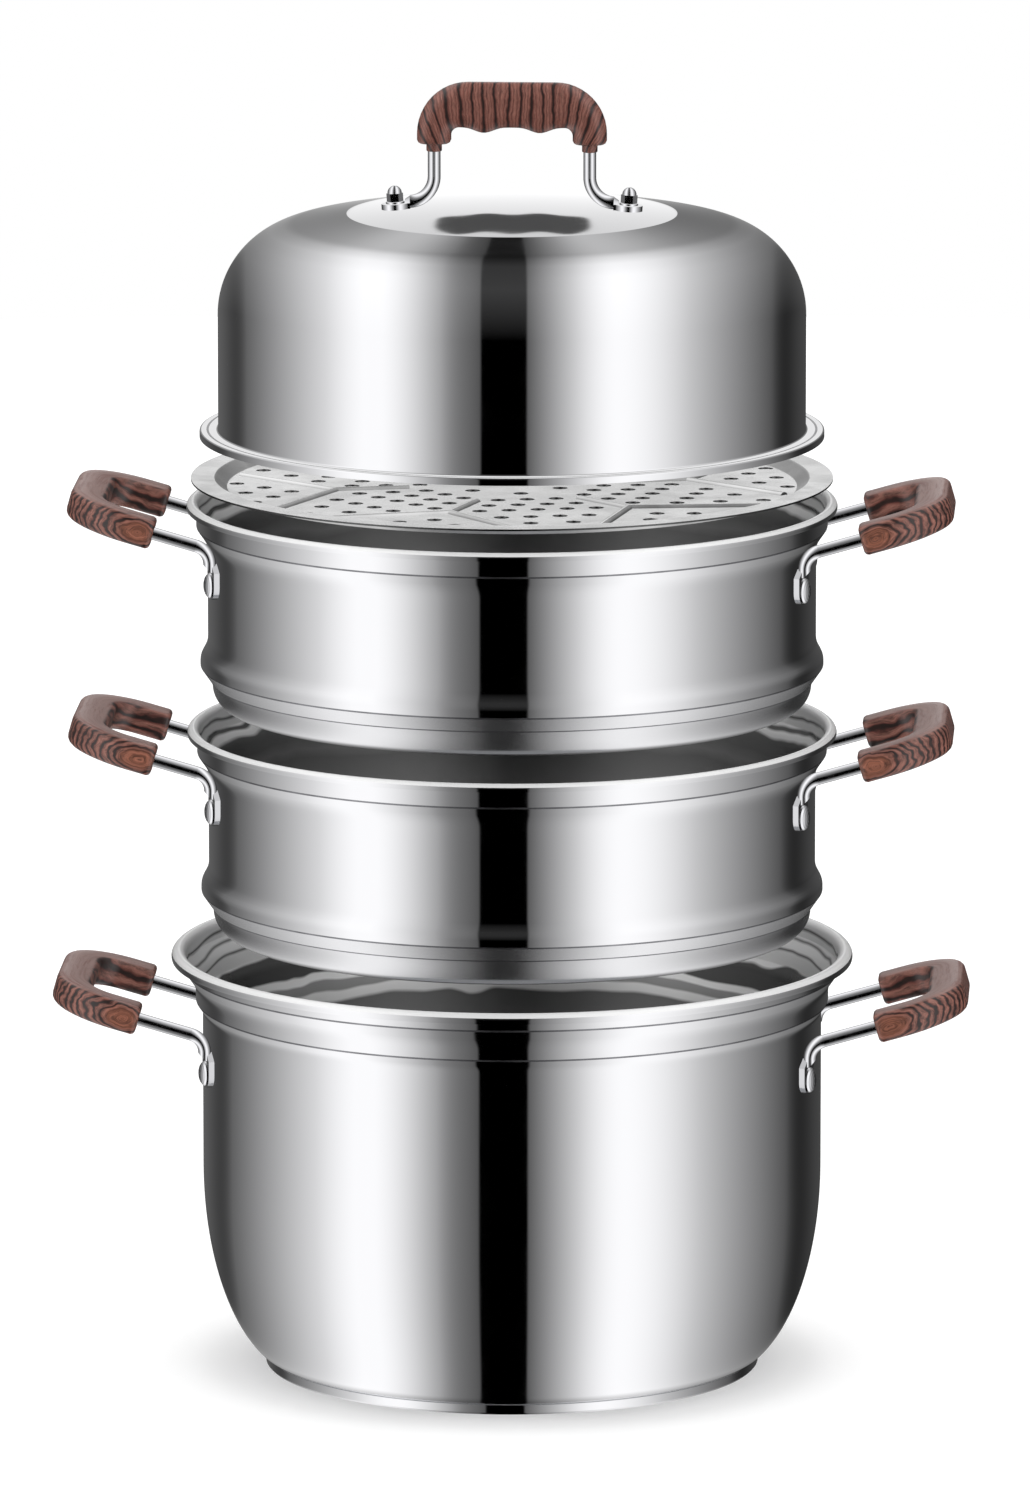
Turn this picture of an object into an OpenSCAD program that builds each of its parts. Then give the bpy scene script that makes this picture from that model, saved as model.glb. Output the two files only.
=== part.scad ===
// Stacking steamer pot: a pot, two bottomless steaming tiers, two perforated plates and a domed lid.
// Z is up, the side handles lie along X, and the origin is the centre of the pot's underside.

/* [Sheet steel] */
// Thickness of the drawn steel
sheet = 0.8; // [0.6:0.1:1.2]
// Inside radius of every crease pressed into the steel
crease_r = 0.8; // [0.4:0.1:1.4]
// Radial width of the nesting steps for each millimetre of their height
step_slope = 0.7; // [0.5:0.05:1]

/* [Pot] */
// Outside radius of the pot's straight wall
pot_r = 134; // [125:0.5:145]
// Height of the pot's rim above the table
pot_h = 183; // [165:1:230]
// Height at which the rounded lower wall turns straight
bowl_h = 88; // [70:1:100]
// Radius at which the rounded lower wall would reach the table
bowl_r = 95.5; // [85:0.5:105]
// Depth of the pot's upper step below its rim
pot_step_drop = 15.5; // [13:0.5:20]
// Height of the pot's lower neck, between its two steps
pot_neck_h = 6.7; // [4:0.1:10]
// Radial width of the pot's upper step
pot_upper_step = 5; // [3:0.5:7]
// Width of the pot's rolled lip
pot_lip_w = 5.5; // [4:0.1:8]
// Height of the heat-spreading base
base_h = 5; // [4:0.1:7]
// Radius of the heat-spreading base
base_r = 107; // [98:0.5:108]

/* [Tiers] */
// Outside radius of a tier's straight wall
tier_r = 131.1; // [129:0.1:133]
// Height of a tier
tier_h = 90; // [80:1:130]
// Height at which a tier's wall starts to widen into its neck
tier_step_z = 72; // [66:0.5:72]
// Radial width of the step in a tier's neck
tier_step = 4.9; // [4:0.1:6]
// Width of a tier's rolled lip
tier_lip_w = 4.2; // [3:0.1:6]
// Radius of a tier's opening below, inside its turned edge
tier_mouth_r = 118; // [100:0.5:122]
// Radius of the lower corner of a tier's skirt
skirt_r = 129.2; // [126:0.1:129.2]
// Height of the skirt's rounded lower edge
skirt_round = 10; // [5:0.5:11]
// Radius of the groove above the skirt
groove_r = 129.7; // [128.8:0.1:130.5]
// Height of the groove above the tier's lower edge
groove_z = 11.8; // [10:0.1:14]
// Height of the flat of the bead that carries the tier
bead_flat = 3.5; // [1:0.1:6]
// Height of the bead's upper slope
bead_fall = 6; // [4:0.5:10]

/* [Plates] */
// Outside radius of the upper plate
upper_plate_r = 138.2; // [136.5:0.1:142]
// Outside radius of the lower plate
lower_plate_r = 131.5; // [126:0.5:132.4]
// Width of a plate's flat flange
flange_w = 10; // [6:0.5:14]
// Depth of a plate's field below its flange
field_drop = 4; // [2:0.5:6]
// Radial run of the slope between flange and field
field_slope = 5.2; // [3:0.1:8]
// Diameter of the steam holes
hole_d = 6.5; // [4:0.1:8]
// Distance between neighbouring holes in a row
hole_pitch = 12.6; // [11:0.1:14]
// Distance from the plate's centre to the first row of a panel
first_row_r = 37.5; // [34:0.5:40]
// Distance between the three inner rows of a panel
near_pitch = 13.3; // [11:0.1:14]
// Distance between the three outer rows of a panel
far_pitch = 16.3; // [12:0.1:17]
// Distance from the outermost hole of a panel to the edge of the field
tip_margin = 8.5; // [6:0.5:12]
// Distance between the holes of an outer triangle, round the plate
corner_pitch = 24.5; // [18:0.5:26]
// Distance between the rows of an outer triangle
corner_row = 10; // [8:0.5:12]
// Radius of the ring of six holes round the centre
centre_ring_r = 22; // [14:0.5:25]
// Width of the pressed ridges
ridge_w = 4.5; // [3:0.1:6]
// Height of the pressed ridges
ridge_h = 1.3; // [0.8:0.1:2]
// Radius at which the ridges start
ridge_start = 45; // [30:1:55]
// Distance from the fork of a ridge to the edge of the field
fork_margin = 46; // [40:1:54]
// Angle between a fork's arms and its stem
fork_angle = 54; // [45:1:60]
// Turn of the plates' pattern about the upright axis
pattern_turn = 13; // [0:1:59]

/* [Lid] */
// Outside radius of the lid's wall
lid_r = 126.4; // [122:0.1:128]
// Width of the lid's flange
lid_flange = 8; // [5:0.5:9]
// Depth of the flange's turned edge
lid_edge = 3; // [2:0.1:5]
// Height at which the lid's wall turns into its shoulder
lid_wall_h = 53; // [30:0.5:70]
// Radius of the lid's shoulder in section
shoulder_r = 40; // [25:1:50]
// Slope of the band between the shoulder and the crown, in degrees
band_slope = 10; // [5:1:14]
// Radius of the crown
crown_r = 71; // [62:1:78]
// Height of the crown's dome above its own edge
crown_rise = 3; // [2:0.5:10]

/* [Side handles] */
// Diameter of the steel rod in a handle
rod_d = 5.5; // [4:0.1:7]
// Half of the distance between the two arms of a side handle
arm_half = 41; // [34:0.5:46]
// Radius of the bend from foot to arm, at the rod's centre
arm_bend = 8; // [6:0.5:10]
// Rise of a side handle's arms, in degrees
arm_tilt = 16; // [8:0.5:24]
// Distance from a vessel's lip outwards to the legs of its grips
grip_reach = 11.6; // [6:0.1:16]
// Depth of the rivets on the pot below its rim
pot_rivet_drop = 49; // [45:0.5:71]
// Depth of the rivets on a tier below its rim
tier_rivet_drop = 31.8; // [28:0.1:36]
// Height from rivet to bend
foot_rise = 9.5; // [8:0.5:12]
// Width of the flattened foot
foot_w = 12; // [10:0.5:15]
// Thickness of the flattened foot
foot_t = 2.4; // [1.5:0.1:3]
// Length of a side grip outwards
grip_depth = 39.4; // [36:0.5:56]
// Radius of the side grip's outer corners
grip_corner = 30; // [20:1:36]
// Width of a side grip across its outer bar
grip_band = 15.7; // [14:0.1:22]
// Radius of the rod's bends inside a side grip
core_bend = 16; // [12:0.5:20]

/* [Lid handle] */
// Half of the distance between the rod's upright arms
lid_arm_half = 33.4; // [28:0.1:36]
// Radius of the bend from arm to foot, at the rod's centre
lid_bend = 11; // [8:0.5:12]
// Length of the straight arm below the grip
lid_arm_bare = 14.4; // [4:0.1:20]
// Distance of the bolts from the lid's axis
bolt_x = 50; // [49:0.1:53]
// Height of the lid's grip
lid_grip_h = 26.4; // [24:0.1:36]
// Radius of the lid grip's outer corners
lid_grip_corner = 22; // [14:0.5:24]
// Height of the lid grip's bar at its finger hollows
lid_grip_band = 19.4; // [14:0.1:22]
// Radius of the rod's bends inside the lid's grip
lid_core_bend = 10; // [6:0.5:12]

/* [Grips] */
// Thickness of every grip
grip_t = 13; // [10:0.5:16]
// Width of a grip's legs
grip_leg = 14.6; // [11:0.1:18]
// Rounding of a grip's outer edges
grip_round = 4; // [2:0.5:5]
// Distance between the two ridges between the finger hollows
finger_pitch = 24; // [18:0.5:26]
// Height of the ridges between the finger hollows
finger_h = 2.3; // [0.5:0.1:3]

/* [Fasteners] */
// Diameter of the rivets' shanks
rivet_d = 5; // [3:0.1:6]
// Diameter of the rivets' domed heads
rivet_head_d = 11; // [8:0.5:12]
// Height of the rivets' domed heads
rivet_head_h = 3; // [1.5:0.1:4]
// Diameter of the rivets' flat heads inside
rivet_flat_d = 9; // [7:0.5:11]
// Thickness of the rivets' flat heads
rivet_flat_h = 1.2; // [0.8:0.1:2]
// Diameter of the lid's bolts
bolt_d = 4; // [3:0.1:5]
// Diameter of the bolts' heads
bolt_head_d = 8.4; // [6:0.1:10]
// Thickness of the bolts' heads
bolt_head_h = 2; // [1:0.1:3]
// Diameter of the washers
washer_d = 8; // [8:0.1:12]
// Thickness of the washers
washer_t = 0.8; // [0.5:0.1:1.5]
// Width across the flats of the cap nuts
nut_w = 6.2; // [5.5:0.1:9]
// Height of the cap nuts' hexagon
nut_h = 3.6; // [3:0.1:5]
// Height of the cap nuts' dome above the hexagon
nut_dome_h = 3.2; // [2:0.1:5]

/* [Fits] */
// Radial gap between a tier's bead and the neck of a tier
tier_nest_gap = 0.8; // [0.5:0.1:1.5]
// Radial gap between a tier's bead and the lower neck of the pot
pot_nest_gap = 1.8; // [0.8:0.1:2.5]
// Upright gap between stacked pieces where one rests on the other
stack_gap = 0.3; // [0.2:0.05:0.6]
// Gap between the lower plate's edge and the pot's wall
plate_gap = 0.3; // [0.2:0.05:0.6]
// Gap between a curved wall and the foot or head that lies on it
seat_gap = 0.06; // [0.02:0.01:0.1]
// Radial gap round rods, rivets and bolts in their holes
bore_gap = 0.06; // [0.02:0.01:0.1]

/* [Arrangement] */
// Height at which the lower tier is held above its seat in the pot
lower_tier_lift = 50.3; // [0:0.1:80]
// Height at which the upper tier is held above its seat in the lower tier
upper_tier_lift = 38.9; // [0:0.1:60]
// Height at which the upper plate is held above the upper tier's lip
upper_plate_lift = 9.1; // [0:0.1:60]
// Height at which the lid is held above the upper plate
lid_lift = 17.6; // [0:0.1:60]

/* [Hidden] */
$fn = 96;

HANDLED = ["pot", "lower_tier", "upper_tier"];
SIDES = ["left", "right"];

STEEL = "silver";
SATIN = "gainsboro";
ALUMINIUM = "darkgray";
WOOD = "sienna";

WALL_STEPS = 12;
ROLL_STEPS = 10;
CREASE_STEPS = 3;
CROWN_STEPS = 10;
SECTORS = 6;
NEAR_ROWS = [3, 4, 5];
FAR_ROWS = [4, 2, 1];
PAIR_SPREAD = 1.46;
CORNER_ROWS = 3;
FINGER_STEP = 1.5;
ROLL_TURN = 200;
CUT = 1;
// A bend is this much thicker than the rod, and the straight rod runs this far into it
BEND_SWELL = 0.02;
ROD_LAP = 0.4;

// How far a grip's inner corner keeps from its finger ridges, in ridges, and its radius as a share of the room
FOLD_ROOM = 1.2;
FOLD_SHARE = 0.5;
// Power that makes the finger ridges narrow and the hollows wide
RIDGE_POWER = 2;

rod_r = rod_d / 2;
// Distance of the outermost holes from the bend at the edge of the sunk field
hole_margin = 7;
pot_rivet_z = pot_h - pot_rivet_drop;
tier_rivet_z = tier_h - tier_rivet_drop;

// Nesting: the bead of every tier fits the neck of a tier, and the pot's lower neck fits the bead
tier_neck_r = tier_r + tier_step;
bead_r = tier_neck_r - sheet - tier_nest_gap;
pot_neck_r = bead_r + pot_nest_gap + sheet;
pot_mouth_r = pot_neck_r + pot_upper_step;
tier_lip_r = tier_neck_r + tier_lip_w;
pot_lip_r = pot_mouth_r + pot_lip_w;
pot_neck_top = pot_h - pot_step_drop;
pot_neck_z = pot_neck_top - pot_neck_h;
pot_step_z = pot_neck_z - (pot_neck_r - pot_r) / step_slope;
bead_z = groove_z + (bead_r - groove_r) / step_slope;
slant = sheet * sqrt(1 + step_slope * step_slope);

// Heights of the stacked pieces, each from its seat and its lift
function seat_on_step(step_z, wall_r) =
    step_z - groove_z + (groove_r - wall_r + slant) / step_slope + stack_gap;
lower_tier_z = seat_on_step(pot_step_z, pot_r) + lower_tier_lift;
upper_tier_z = lower_tier_z + seat_on_step(tier_step_z, tier_r) + upper_tier_lift;
upper_plate_z = upper_tier_z + tier_h + stack_gap + upper_plate_lift;
lid_z = upper_plate_z + sheet + stack_gap + lid_lift;
bowl_side = pot_r - bowl_r;
lower_plate_z = bowl_h - (bowl_h - sheet)
    * sqrt(1 - pow((lower_plate_r + plate_gap - bowl_r) / (bowl_side - sheet), 2));

// The lid's profile
band_angle = 90 - band_slope;
shoulder_end = [lid_r - shoulder_r + shoulder_r * cos(band_angle), lid_wall_h + shoulder_r * sin(band_angle)];
crown_edge_z = shoulder_end.y + (shoulder_end.x - crown_r) * tan(band_slope);
crown_curve = (crown_r * crown_r + crown_rise * crown_rise) / (2 * crown_rise);
crown_top = crown_edge_z + crown_rise;
function crown_z(r) = crown_top - crown_curve + sqrt(crown_curve * crown_curve - r * r);
bolt_lean = asin(bolt_x / crown_curve);

// The lid's handle: its rod ends on the crown, and its grip starts above the straight arms
lid_foot_lift = rod_r + 2 * seat_gap;
lid_bend_x = lid_arm_half + lid_bend * (1 - sin(bolt_lean));
lid_arm_z = crown_z(bolt_x) + (bolt_x - lid_bend_x) * tan(bolt_lean)
    + lid_foot_lift / cos(bolt_lean) + lid_bend * cos(bolt_lean);
lid_grip_z = lid_arm_z + lid_arm_bare;
lid_core_h = lid_grip_h - lid_grip_band / 2;

nut_top = foot_t + seat_gap + washer_t + nut_h;

// The part of a side handle's rod between its bend and the full width of its foot
foot_neck = foot_rise - foot_w / 2;

function xy(p) = [p.x, p.y];
function unit(v) = v / norm(v);
function left(v) = [-v.y, v.x];
function arc(centre, r, from, to, steps) =
    [for (i = [0:steps]) let (a = from + (to - from) * i / steps) centre + r * [cos(a), sin(a)]];
function mirrored(path) = [for (i = [len(path) - 1:-1:0]) [-path[i].x, path[i].y]];

// One crease of a sheet: its arc is wider where the sheet lies inside it
function crease(a, b, c) =
    let (
        u = unit(b - a),
        v = unit(c - b),
        turn = atan2(cross(u, v), u * v),
        r = turn > 0 ? crease_r + sheet : crease_r,
        start = b - u * r * tan(abs(turn) / 2),
        centre = start + sign(turn) * r * left(u)
    )
    [for (i = [0:CREASE_STEPS])
        let (a = turn * i / CREASE_STEPS, d = start - centre)
        centre + [d.x * cos(a) - d.y * sin(a), d.x * sin(a) + d.y * cos(a)]];

// A path whose points with a third entry become creases
function creased(path) = [for (i = [0:len(path) - 1])
    each len(path[i]) == 3 ? crease(xy(path[i - 1]), xy(path[i]), xy(path[i + 1])) : [path[i]]];

// The same path moved to its left by the sheet's thickness
function moved(path) = [for (i = [0:len(path) - 1])
    let (
        before = left(unit(path[max(i, 1)] - path[max(i, 1) - 1])),
        after = left(unit(path[min(i + 1, len(path) - 1)] - path[min(i, len(path) - 2)]))
    )
    let (p = path[i] + sheet * (before + after) / (1 + before * after))
    [max(p.x, 0), p.y]];

// A turned sheet of even thickness, from the path of its outer face
module drawn(path) {
    outer = creased(path);
    inner = moved(outer);
    rotate_extrude() polygon(concat(outer, [for (i = [len(inner) - 1:-1:0]) inner[i]]));
}

// The outer face of a rolled lip that ends at the given width
function lip(neck_r, width, top) =
    let (roll = (width - sheet) / 2)
    arc([neck_r + roll, top - sheet - roll], roll, 180, 180 - ROLL_TURN, ROLL_STEPS);

function bowl() =
    let (start = asin(1 - base_h / bowl_h))
    [for (i = [0:WALL_STEPS])
        let (a = start * (1 - i / WALL_STEPS)) [bowl_r + bowl_side * cos(a), bowl_h * (1 - sin(a))]];

module pot_shell() {
    color(STEEL) difference() {
        drawn(concat(
            [[0, base_h]], bowl(),
            [[pot_r, pot_step_z, 1], [pot_neck_r, pot_neck_z, 1], [pot_neck_r, pot_neck_top, 1],
             [pot_mouth_r, pot_neck_top + pot_upper_step / step_slope, 1]],
            lip(pot_mouth_r, pot_lip_w, pot_h)
        ));
        rivet_holes(pot_r, pot_rivet_z);
    }
}

module base_core() {
    color(ALUMINIUM) translate([0, 0, sheet]) cylinder(h = base_h - sheet, r = base_r - sheet - bore_gap);
}

module base_cap() {
    color(STEEL) rotate_extrude() polygon([
        [0, 0], [base_r - crease_r, 0], [base_r, crease_r], [base_r, base_h - sheet], [base_r - sheet, base_h - sheet],
        [base_r - sheet, sheet], [0, sheet]
    ]);
}

module tier_shell() {
    color(SATIN) difference() {
        drawn(concat(
            [[tier_mouth_r, 0]],
            [for (i = [0:CREASE_STEPS * 2])
                let (a = 90 * i / (CREASE_STEPS * 2))
                [skirt_r - skirt_round * (1 - sin(a)), skirt_round * (1 - cos(a))]],
            [[groove_r, groove_z, 1], [bead_r, bead_z, 1], [bead_r, bead_z + bead_flat, 1],
             [tier_r, bead_z + bead_flat + bead_fall, 1], [tier_r, tier_step_z, 1],
             [tier_neck_r, tier_step_z + tier_step / step_slope, 1]],
            lip(tier_neck_r, tier_lip_w, tier_h)
        ));
        rivet_holes(tier_r, tier_rivet_z);
    }
}

// One panel of holes: its rows grow towards the middle of the plate and end in a single hole
module panel_holes(field_r) {
    tip = field_r - tip_margin;
    for (i = [0:len(NEAR_ROWS) - 1])
        hole_row(first_row_r + i * near_pitch, NEAR_ROWS[i], hole_pitch);
    for (i = [0:len(FAR_ROWS) - 1])
        hole_row(tip - (len(FAR_ROWS) - 1 - i) * far_pitch, FAR_ROWS[i],
                 FAR_ROWS[i] == 2 ? hole_pitch * PAIR_SPREAD : hole_pitch);
}

module hole_row(r, count, pitch) {
    for (i = [0:count - 1])
        translate([r, (i - (count - 1) / 2) * pitch]) circle(d = hole_d);
}

module corner_holes(field_r) {
    for (i = [1:CORNER_ROWS])
        hole_row(field_r - hole_margin - (CORNER_ROWS - i) * corner_row, i, corner_pitch);
}

module steam_holes(field_r) {
    for (k = [0:SECTORS - 1]) {
        rotate(pattern_turn + k * 360 / SECTORS) corner_holes(field_r);
        rotate(pattern_turn + (k + 0.5) * 360 / SECTORS) {
            panel_holes(field_r);
            translate([centre_ring_r, 0]) circle(d = hole_d);
        }
    }
}

// The forked ridges of a plate as bars of a circle's section: their tops stand above the field
module ridges(field_r, inset) {
    bar_r = (ridge_w * ridge_w / 4 + ridge_h * ridge_h) / (2 * ridge_h);
    fork = field_r - fork_margin;
    arm = (field_r - hole_margin / 2) * sin(fork_angle - asin(fork / (field_r - hole_margin / 2) * sin(fork_angle)))
        / sin(fork_angle);
    for (k = [0:SECTORS - 1])
        rotate(pattern_turn + k * 360 / SECTORS) translate([0, 0, ridge_h - bar_r]) {
            translate([ridge_start + inset, 0, 0]) bar(fork - ridge_start, bar_r - inset);
            for (s = [-1, 1])
                translate([fork, 0, 0]) rotate(s * fork_angle) bar(arm - inset, bar_r - inset);
        }
}

module bar(length, r) {
    rotate([0, 90, 0]) cylinder(h = length, r = r);
}

// A pressed plate: flange, sloping step, perforated field and forked ridges, hollow from below
module plate(r) {
    flange_in = r - flange_w;
    field_r = flange_in - field_slope;
    color(SATIN) difference() {
        union() {
            drawn([[0, -field_drop], [field_r, -field_drop, 1], [flange_in, 0, 1], [r, 0]]);
            translate([0, 0, sheet - field_drop]) intersection() {
                ridges(field_r, 0);
                cylinder(h = 2 * ridge_h, r = field_r);
            }
        }
        translate([0, 0, sheet - field_drop]) ridges(field_r, sheet);
        translate([0, 0, -field_drop - CUT]) linear_extrude(sheet + 2 * CUT) steam_holes(field_r);
    }
}

module lid_shell() {
    color(STEEL) difference() {
        drawn(concat(
            [[lid_r + lid_flange, 0], [lid_r + lid_flange, lid_edge, 1], [lid_r, lid_edge, 1]],
            arc([lid_r - shoulder_r, lid_wall_h], shoulder_r, 0, band_angle, WALL_STEPS),
            [for (i = [0:CROWN_STEPS]) let (r = crown_r * (1 - i / CROWN_STEPS)) [r, crown_z(r)]]
        ));
        at_bolts() translate([0, 0, -bolt_head_h]) cylinder(h = 2 * bolt_head_h, d = bolt_d + 2 * bore_gap);
    }
}

// A frame that lies on the crown at a bolt, with Z along the bolt
module on_crown() {
    translate([bolt_x, 0, crown_z(bolt_x)]) rotate([0, bolt_lean, 0]) children();
}

// A side handle's rod rises at this distance from the vessel's axis, just clear of the wall
function rise_r(wall_r) = wall_r + 2 * seat_gap + rod_r;
function foot_angle(wall_r) = asin(arm_half / rise_r(wall_r));
function bend_x(wall_r) = rise_r(wall_r) * cos(foot_angle(wall_r)) + arm_bend;

// The bare length of an arm from its bend to the grip, which stands clear of the vessel's lip
function arm_bare(wall_r, lip_r) =
    (lip_r + grip_reach - bend_x(wall_r) + arm_bend * sin(arm_tilt)) / cos(arm_tilt);

// A frame on a vessel's wall at each foot of a handle, with X outwards and its origin at the rivet
module at_feet(wall_r, rivet_z) {
    for (s = [-1, 1])
        rotate(s * foot_angle(wall_r)) translate([wall_r, 0, rivet_z]) children();
}

module rivet_holes(wall_r, rivet_z) {
    for (side = [0, 1]) mirror([side, 0, 0])
        at_feet(wall_r, rivet_z)
            translate([-rivet_flat_d, 0, 0]) bar(2 * rivet_flat_d, rivet_d / 2 + bore_gap);
}

// The rod of a side handle in the plane of its arms, which start at X = 0
module arms(length, half, bend, r) {
    for (s = [0, 1]) mirror([0, s, 0]) {
        translate([-ROD_LAP, half, 0]) bar(length - bend + ROD_LAP, r);
        translate([length - bend, half - bend, 0]) rotate_extrude(angle = 90) translate([bend, 0]) circle(r);
    }
    translate([length, bend - half, 0]) rotate([-90, 0, 0]) cylinder(h = 2 * (half - bend), r = r);
}

// A frame in the middle plane of a side handle, at the centre of the bends between its feet and arms
module at_bend(wall_r, rivet_z) {
    translate([bend_x(wall_r), 0, rivet_z + foot_rise]) children();
}

// A frame at the start of a side handle's arms, tilted with them
module at_arms(wall_r, rivet_z) {
    at_bend(wall_r, rivet_z) rotate([0, -arm_tilt, 0]) translate([0, 0, arm_bend]) children();
}

// The arms of a side handle and the rod inside its grip
module side_arms(wall_r, rivet_z, lip_r, r) {
    at_arms(wall_r, rivet_z)
        arms(arm_bare(wall_r, lip_r) + grip_depth - grip_band / 2, arm_half, core_bend, r);
}

module side_rod(wall_r, rivet_z, lip_r) {
    color(STEEL) {
        side_arms(wall_r, rivet_z, lip_r, rod_r);
        at_bend(wall_r, rivet_z) for (s = [-1, 1]) translate([0, s * arm_half, 0]) {
            rotate([90, 0, 0]) rotate(90 + arm_tilt)
                rotate_extrude(angle = 90 - arm_tilt) translate([arm_bend, 0]) circle(rod_r + BEND_SWELL);
            translate([-arm_bend, 0, 0]) rod_heel();
        }
        at_feet(wall_r, rivet_z) side_foot(wall_r);
    }
}

// The end of the rod above a foot, beaten down to the foot's thickness
module rod_heel() {
    flat = foot_t - rod_r - seat_gap;
    difference() {
        translate([0, 0, -foot_neck]) cylinder(h = foot_neck + ROD_LAP, r = rod_r);
        rotate([90, 0, 0]) translate([0, 0, -rod_d]) linear_extrude(2 * rod_d)
            polygon([[rod_d, -bore_gap], [rod_r + bore_gap, -bore_gap], [flat, -foot_neck - bore_gap],
                     [rod_d, -foot_neck - bore_gap]]);
    }
}

// A flattened foot, drilled for its rivet and hollowed to the wall that it lies on
module side_foot(wall_r) {
    difference() {
        rotate([90, 0, 90]) linear_extrude(seat_gap + foot_t) {
            circle(d = foot_w);
            polygon([[-foot_w / 2, 0], [foot_w / 2, 0], [foot_w / 2, foot_rise - foot_neck],
                     [foot_t / 2, foot_rise - bore_gap], [-foot_t / 2, foot_rise - bore_gap],
                     [-foot_w / 2, foot_rise - foot_neck]]);
        }
        translate([-wall_r, 0, -foot_w]) cylinder(h = 2 * (foot_w + foot_rise), r = wall_r + seat_gap);
        bar(foot_t * 2, rivet_d / 2 + bore_gap);
    }
}

// Outline of a grip: legs down at Y = 0, rounded outer corners, and ridges between the fingers if wanted
function grip_outline(half, height, corner, band, ridges) =
    let (
        outer = concat([[half, 0]], arc([half - corner, height - corner], corner, 0, 90, WALL_STEPS)),
        hollow = height - band,
        inside = half - grip_leg,
        fold = min(inside - finger_pitch / 2 * FOLD_ROOM, hollow) * FOLD_SHARE,
        inner = concat([[inside, 0]], arc([inside - fold, hollow - fold], fold, 0, 90, CREASE_STEPS * 2)),
        ridge = [for (x = [-finger_pitch + FINGER_STEP:FINGER_STEP:finger_pitch - FINGER_STEP])
            if (ridges && abs(x) < inside - fold)
            [x, hollow - finger_h * pow((1 + cos(360 * (abs(x) / finger_pitch - 0.5))) / 2, RIDGE_POWER)]]
    )
    concat(outer, mirrored(outer), [for (p = [inner[0]]) [-p.x, p.y]],
           [for (i = [1:len(inner) - 1]) [-inner[i].x, inner[i].y]], ridge,
           [for (i = [len(inner) - 1:-1:0]) inner[i]]);

// A rectangle with all corners round, or with square ones at its lower side
function round_box(half, low, high, r, square_low = false) = concat(
    arc([half - r, high - r], r, 0, 90, CREASE_STEPS * 2),
    arc([r - half, high - r], r, 90, 180, CREASE_STEPS * 2),
    square_low
        ? [[-half, low], [half, low]]
        : concat(arc([r - half, low + r], r, 180, 270, CREASE_STEPS * 2),
                 arc([half - r, low + r], r, 270, 360, CREASE_STEPS * 2))
);

// A moulded grip in the XY plane with its legs towards -Y: its three outlines round its edges
module grip(half, height, corner, band, ridges) {
    intersection() {
        translate([0, 0, -grip_t / 2]) linear_extrude(grip_t)
            polygon(grip_outline(half, height, corner, band, ridges));
        translate([-half, 0, 0]) rotate([90, 0, 90]) linear_extrude(2 * half)
            polygon([for (p = round_box(grip_t / 2, 0, height, grip_round, true)) [p.y, p.x]]);
        translate([0, height, 0]) rotate([90, 0, 0]) linear_extrude(height)
            polygon(round_box(half, -grip_t / 2, grip_t / 2, grip_round));
    }
}

module side_grip(wall_r, rivet_z, lip_r) {
    color(WOOD) difference() {
        at_arms(wall_r, rivet_z) translate([arm_bare(wall_r, lip_r), 0, 0]) rotate(-90)
            grip(arm_half + grip_leg / 2, grip_depth, grip_corner, grip_band, false);
        side_arms(wall_r, rivet_z, lip_r, rod_r + bore_gap);
    }
}

module side_rivets(wall_r, rivet_z) {
    back = wall_r - sqrt(pow(wall_r - sheet, 2) - pow(rivet_flat_d / 2, 2)) + seat_gap / 2;
    front = seat_gap + foot_t;
    color(STEEL) at_feet(wall_r, rivet_z) {
        translate([-back - rivet_flat_h, 0, 0]) bar(rivet_flat_h, rivet_flat_d / 2);
        translate([-back - rivet_flat_h / 2, 0, 0])
            bar(back + front + (rivet_flat_h + rivet_head_h) / 2, rivet_d / 2);
        translate([front, 0, 0]) rotate([0, 90, 0]) dome(rivet_head_d / 2, rivet_head_h);
    }
}

// A low dome over a circle, round at its edge
module dome(r, h) {
    rotate_extrude() polygon(concat([[0, 0]], [for (a = [0:15:90]) [r * cos(a), h * sin(a)]]));
}

// The arms and the grip's core of the lid's rod
module lid_arms(r) {
    translate([0, 0, lid_arm_z]) rotate([0, -90, -90])
        arms(lid_arm_bare + lid_core_h, lid_arm_half, lid_core_bend, r);
}

module lid_rod() {
    reach = (bolt_x - lid_bend_x) / cos(bolt_lean) + lid_foot_lift * tan(bolt_lean);
    neck = reach - washer_d / 2 - stack_gap;
    color(STEEL) {
        lid_arms(rod_r);
        for (s = [0, 1]) mirror([s, 0, 0]) {
            translate([lid_arm_half + lid_bend, 0, lid_arm_z]) rotate([90, 0, 0]) rotate(180)
                rotate_extrude(angle = 90 - bolt_lean) translate([lid_bend, 0]) circle(rod_r + BEND_SWELL);
            on_crown() {
                translate([-reach - ROD_LAP, 0, lid_foot_lift]) rotate([0, 90, 0])
                    cylinder(h = neck + ROD_LAP, r1 = rod_r, r2 = foot_t / 2);
                translate([0, 0, seat_gap]) linear_extrude(foot_t) difference() {
                    union() {
                        circle(d = foot_w);
                        translate([-reach, -rod_r]) square([reach, rod_d]);
                    }
                    circle(d = bolt_d + 2 * bore_gap);
                }
            }
        }
    }
}

module lid_grip() {
    color(WOOD) difference() {
        translate([0, 0, lid_grip_z]) rotate([90, 0, 0])
            grip(lid_arm_half + grip_leg / 2, lid_grip_h, lid_grip_corner, lid_grip_band, true);
        lid_arms(rod_r + bore_gap);
    }
}

module at_bolts() {
    for (s = [0, 1]) mirror([s, 0, 0]) on_crown() children();
}

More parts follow.
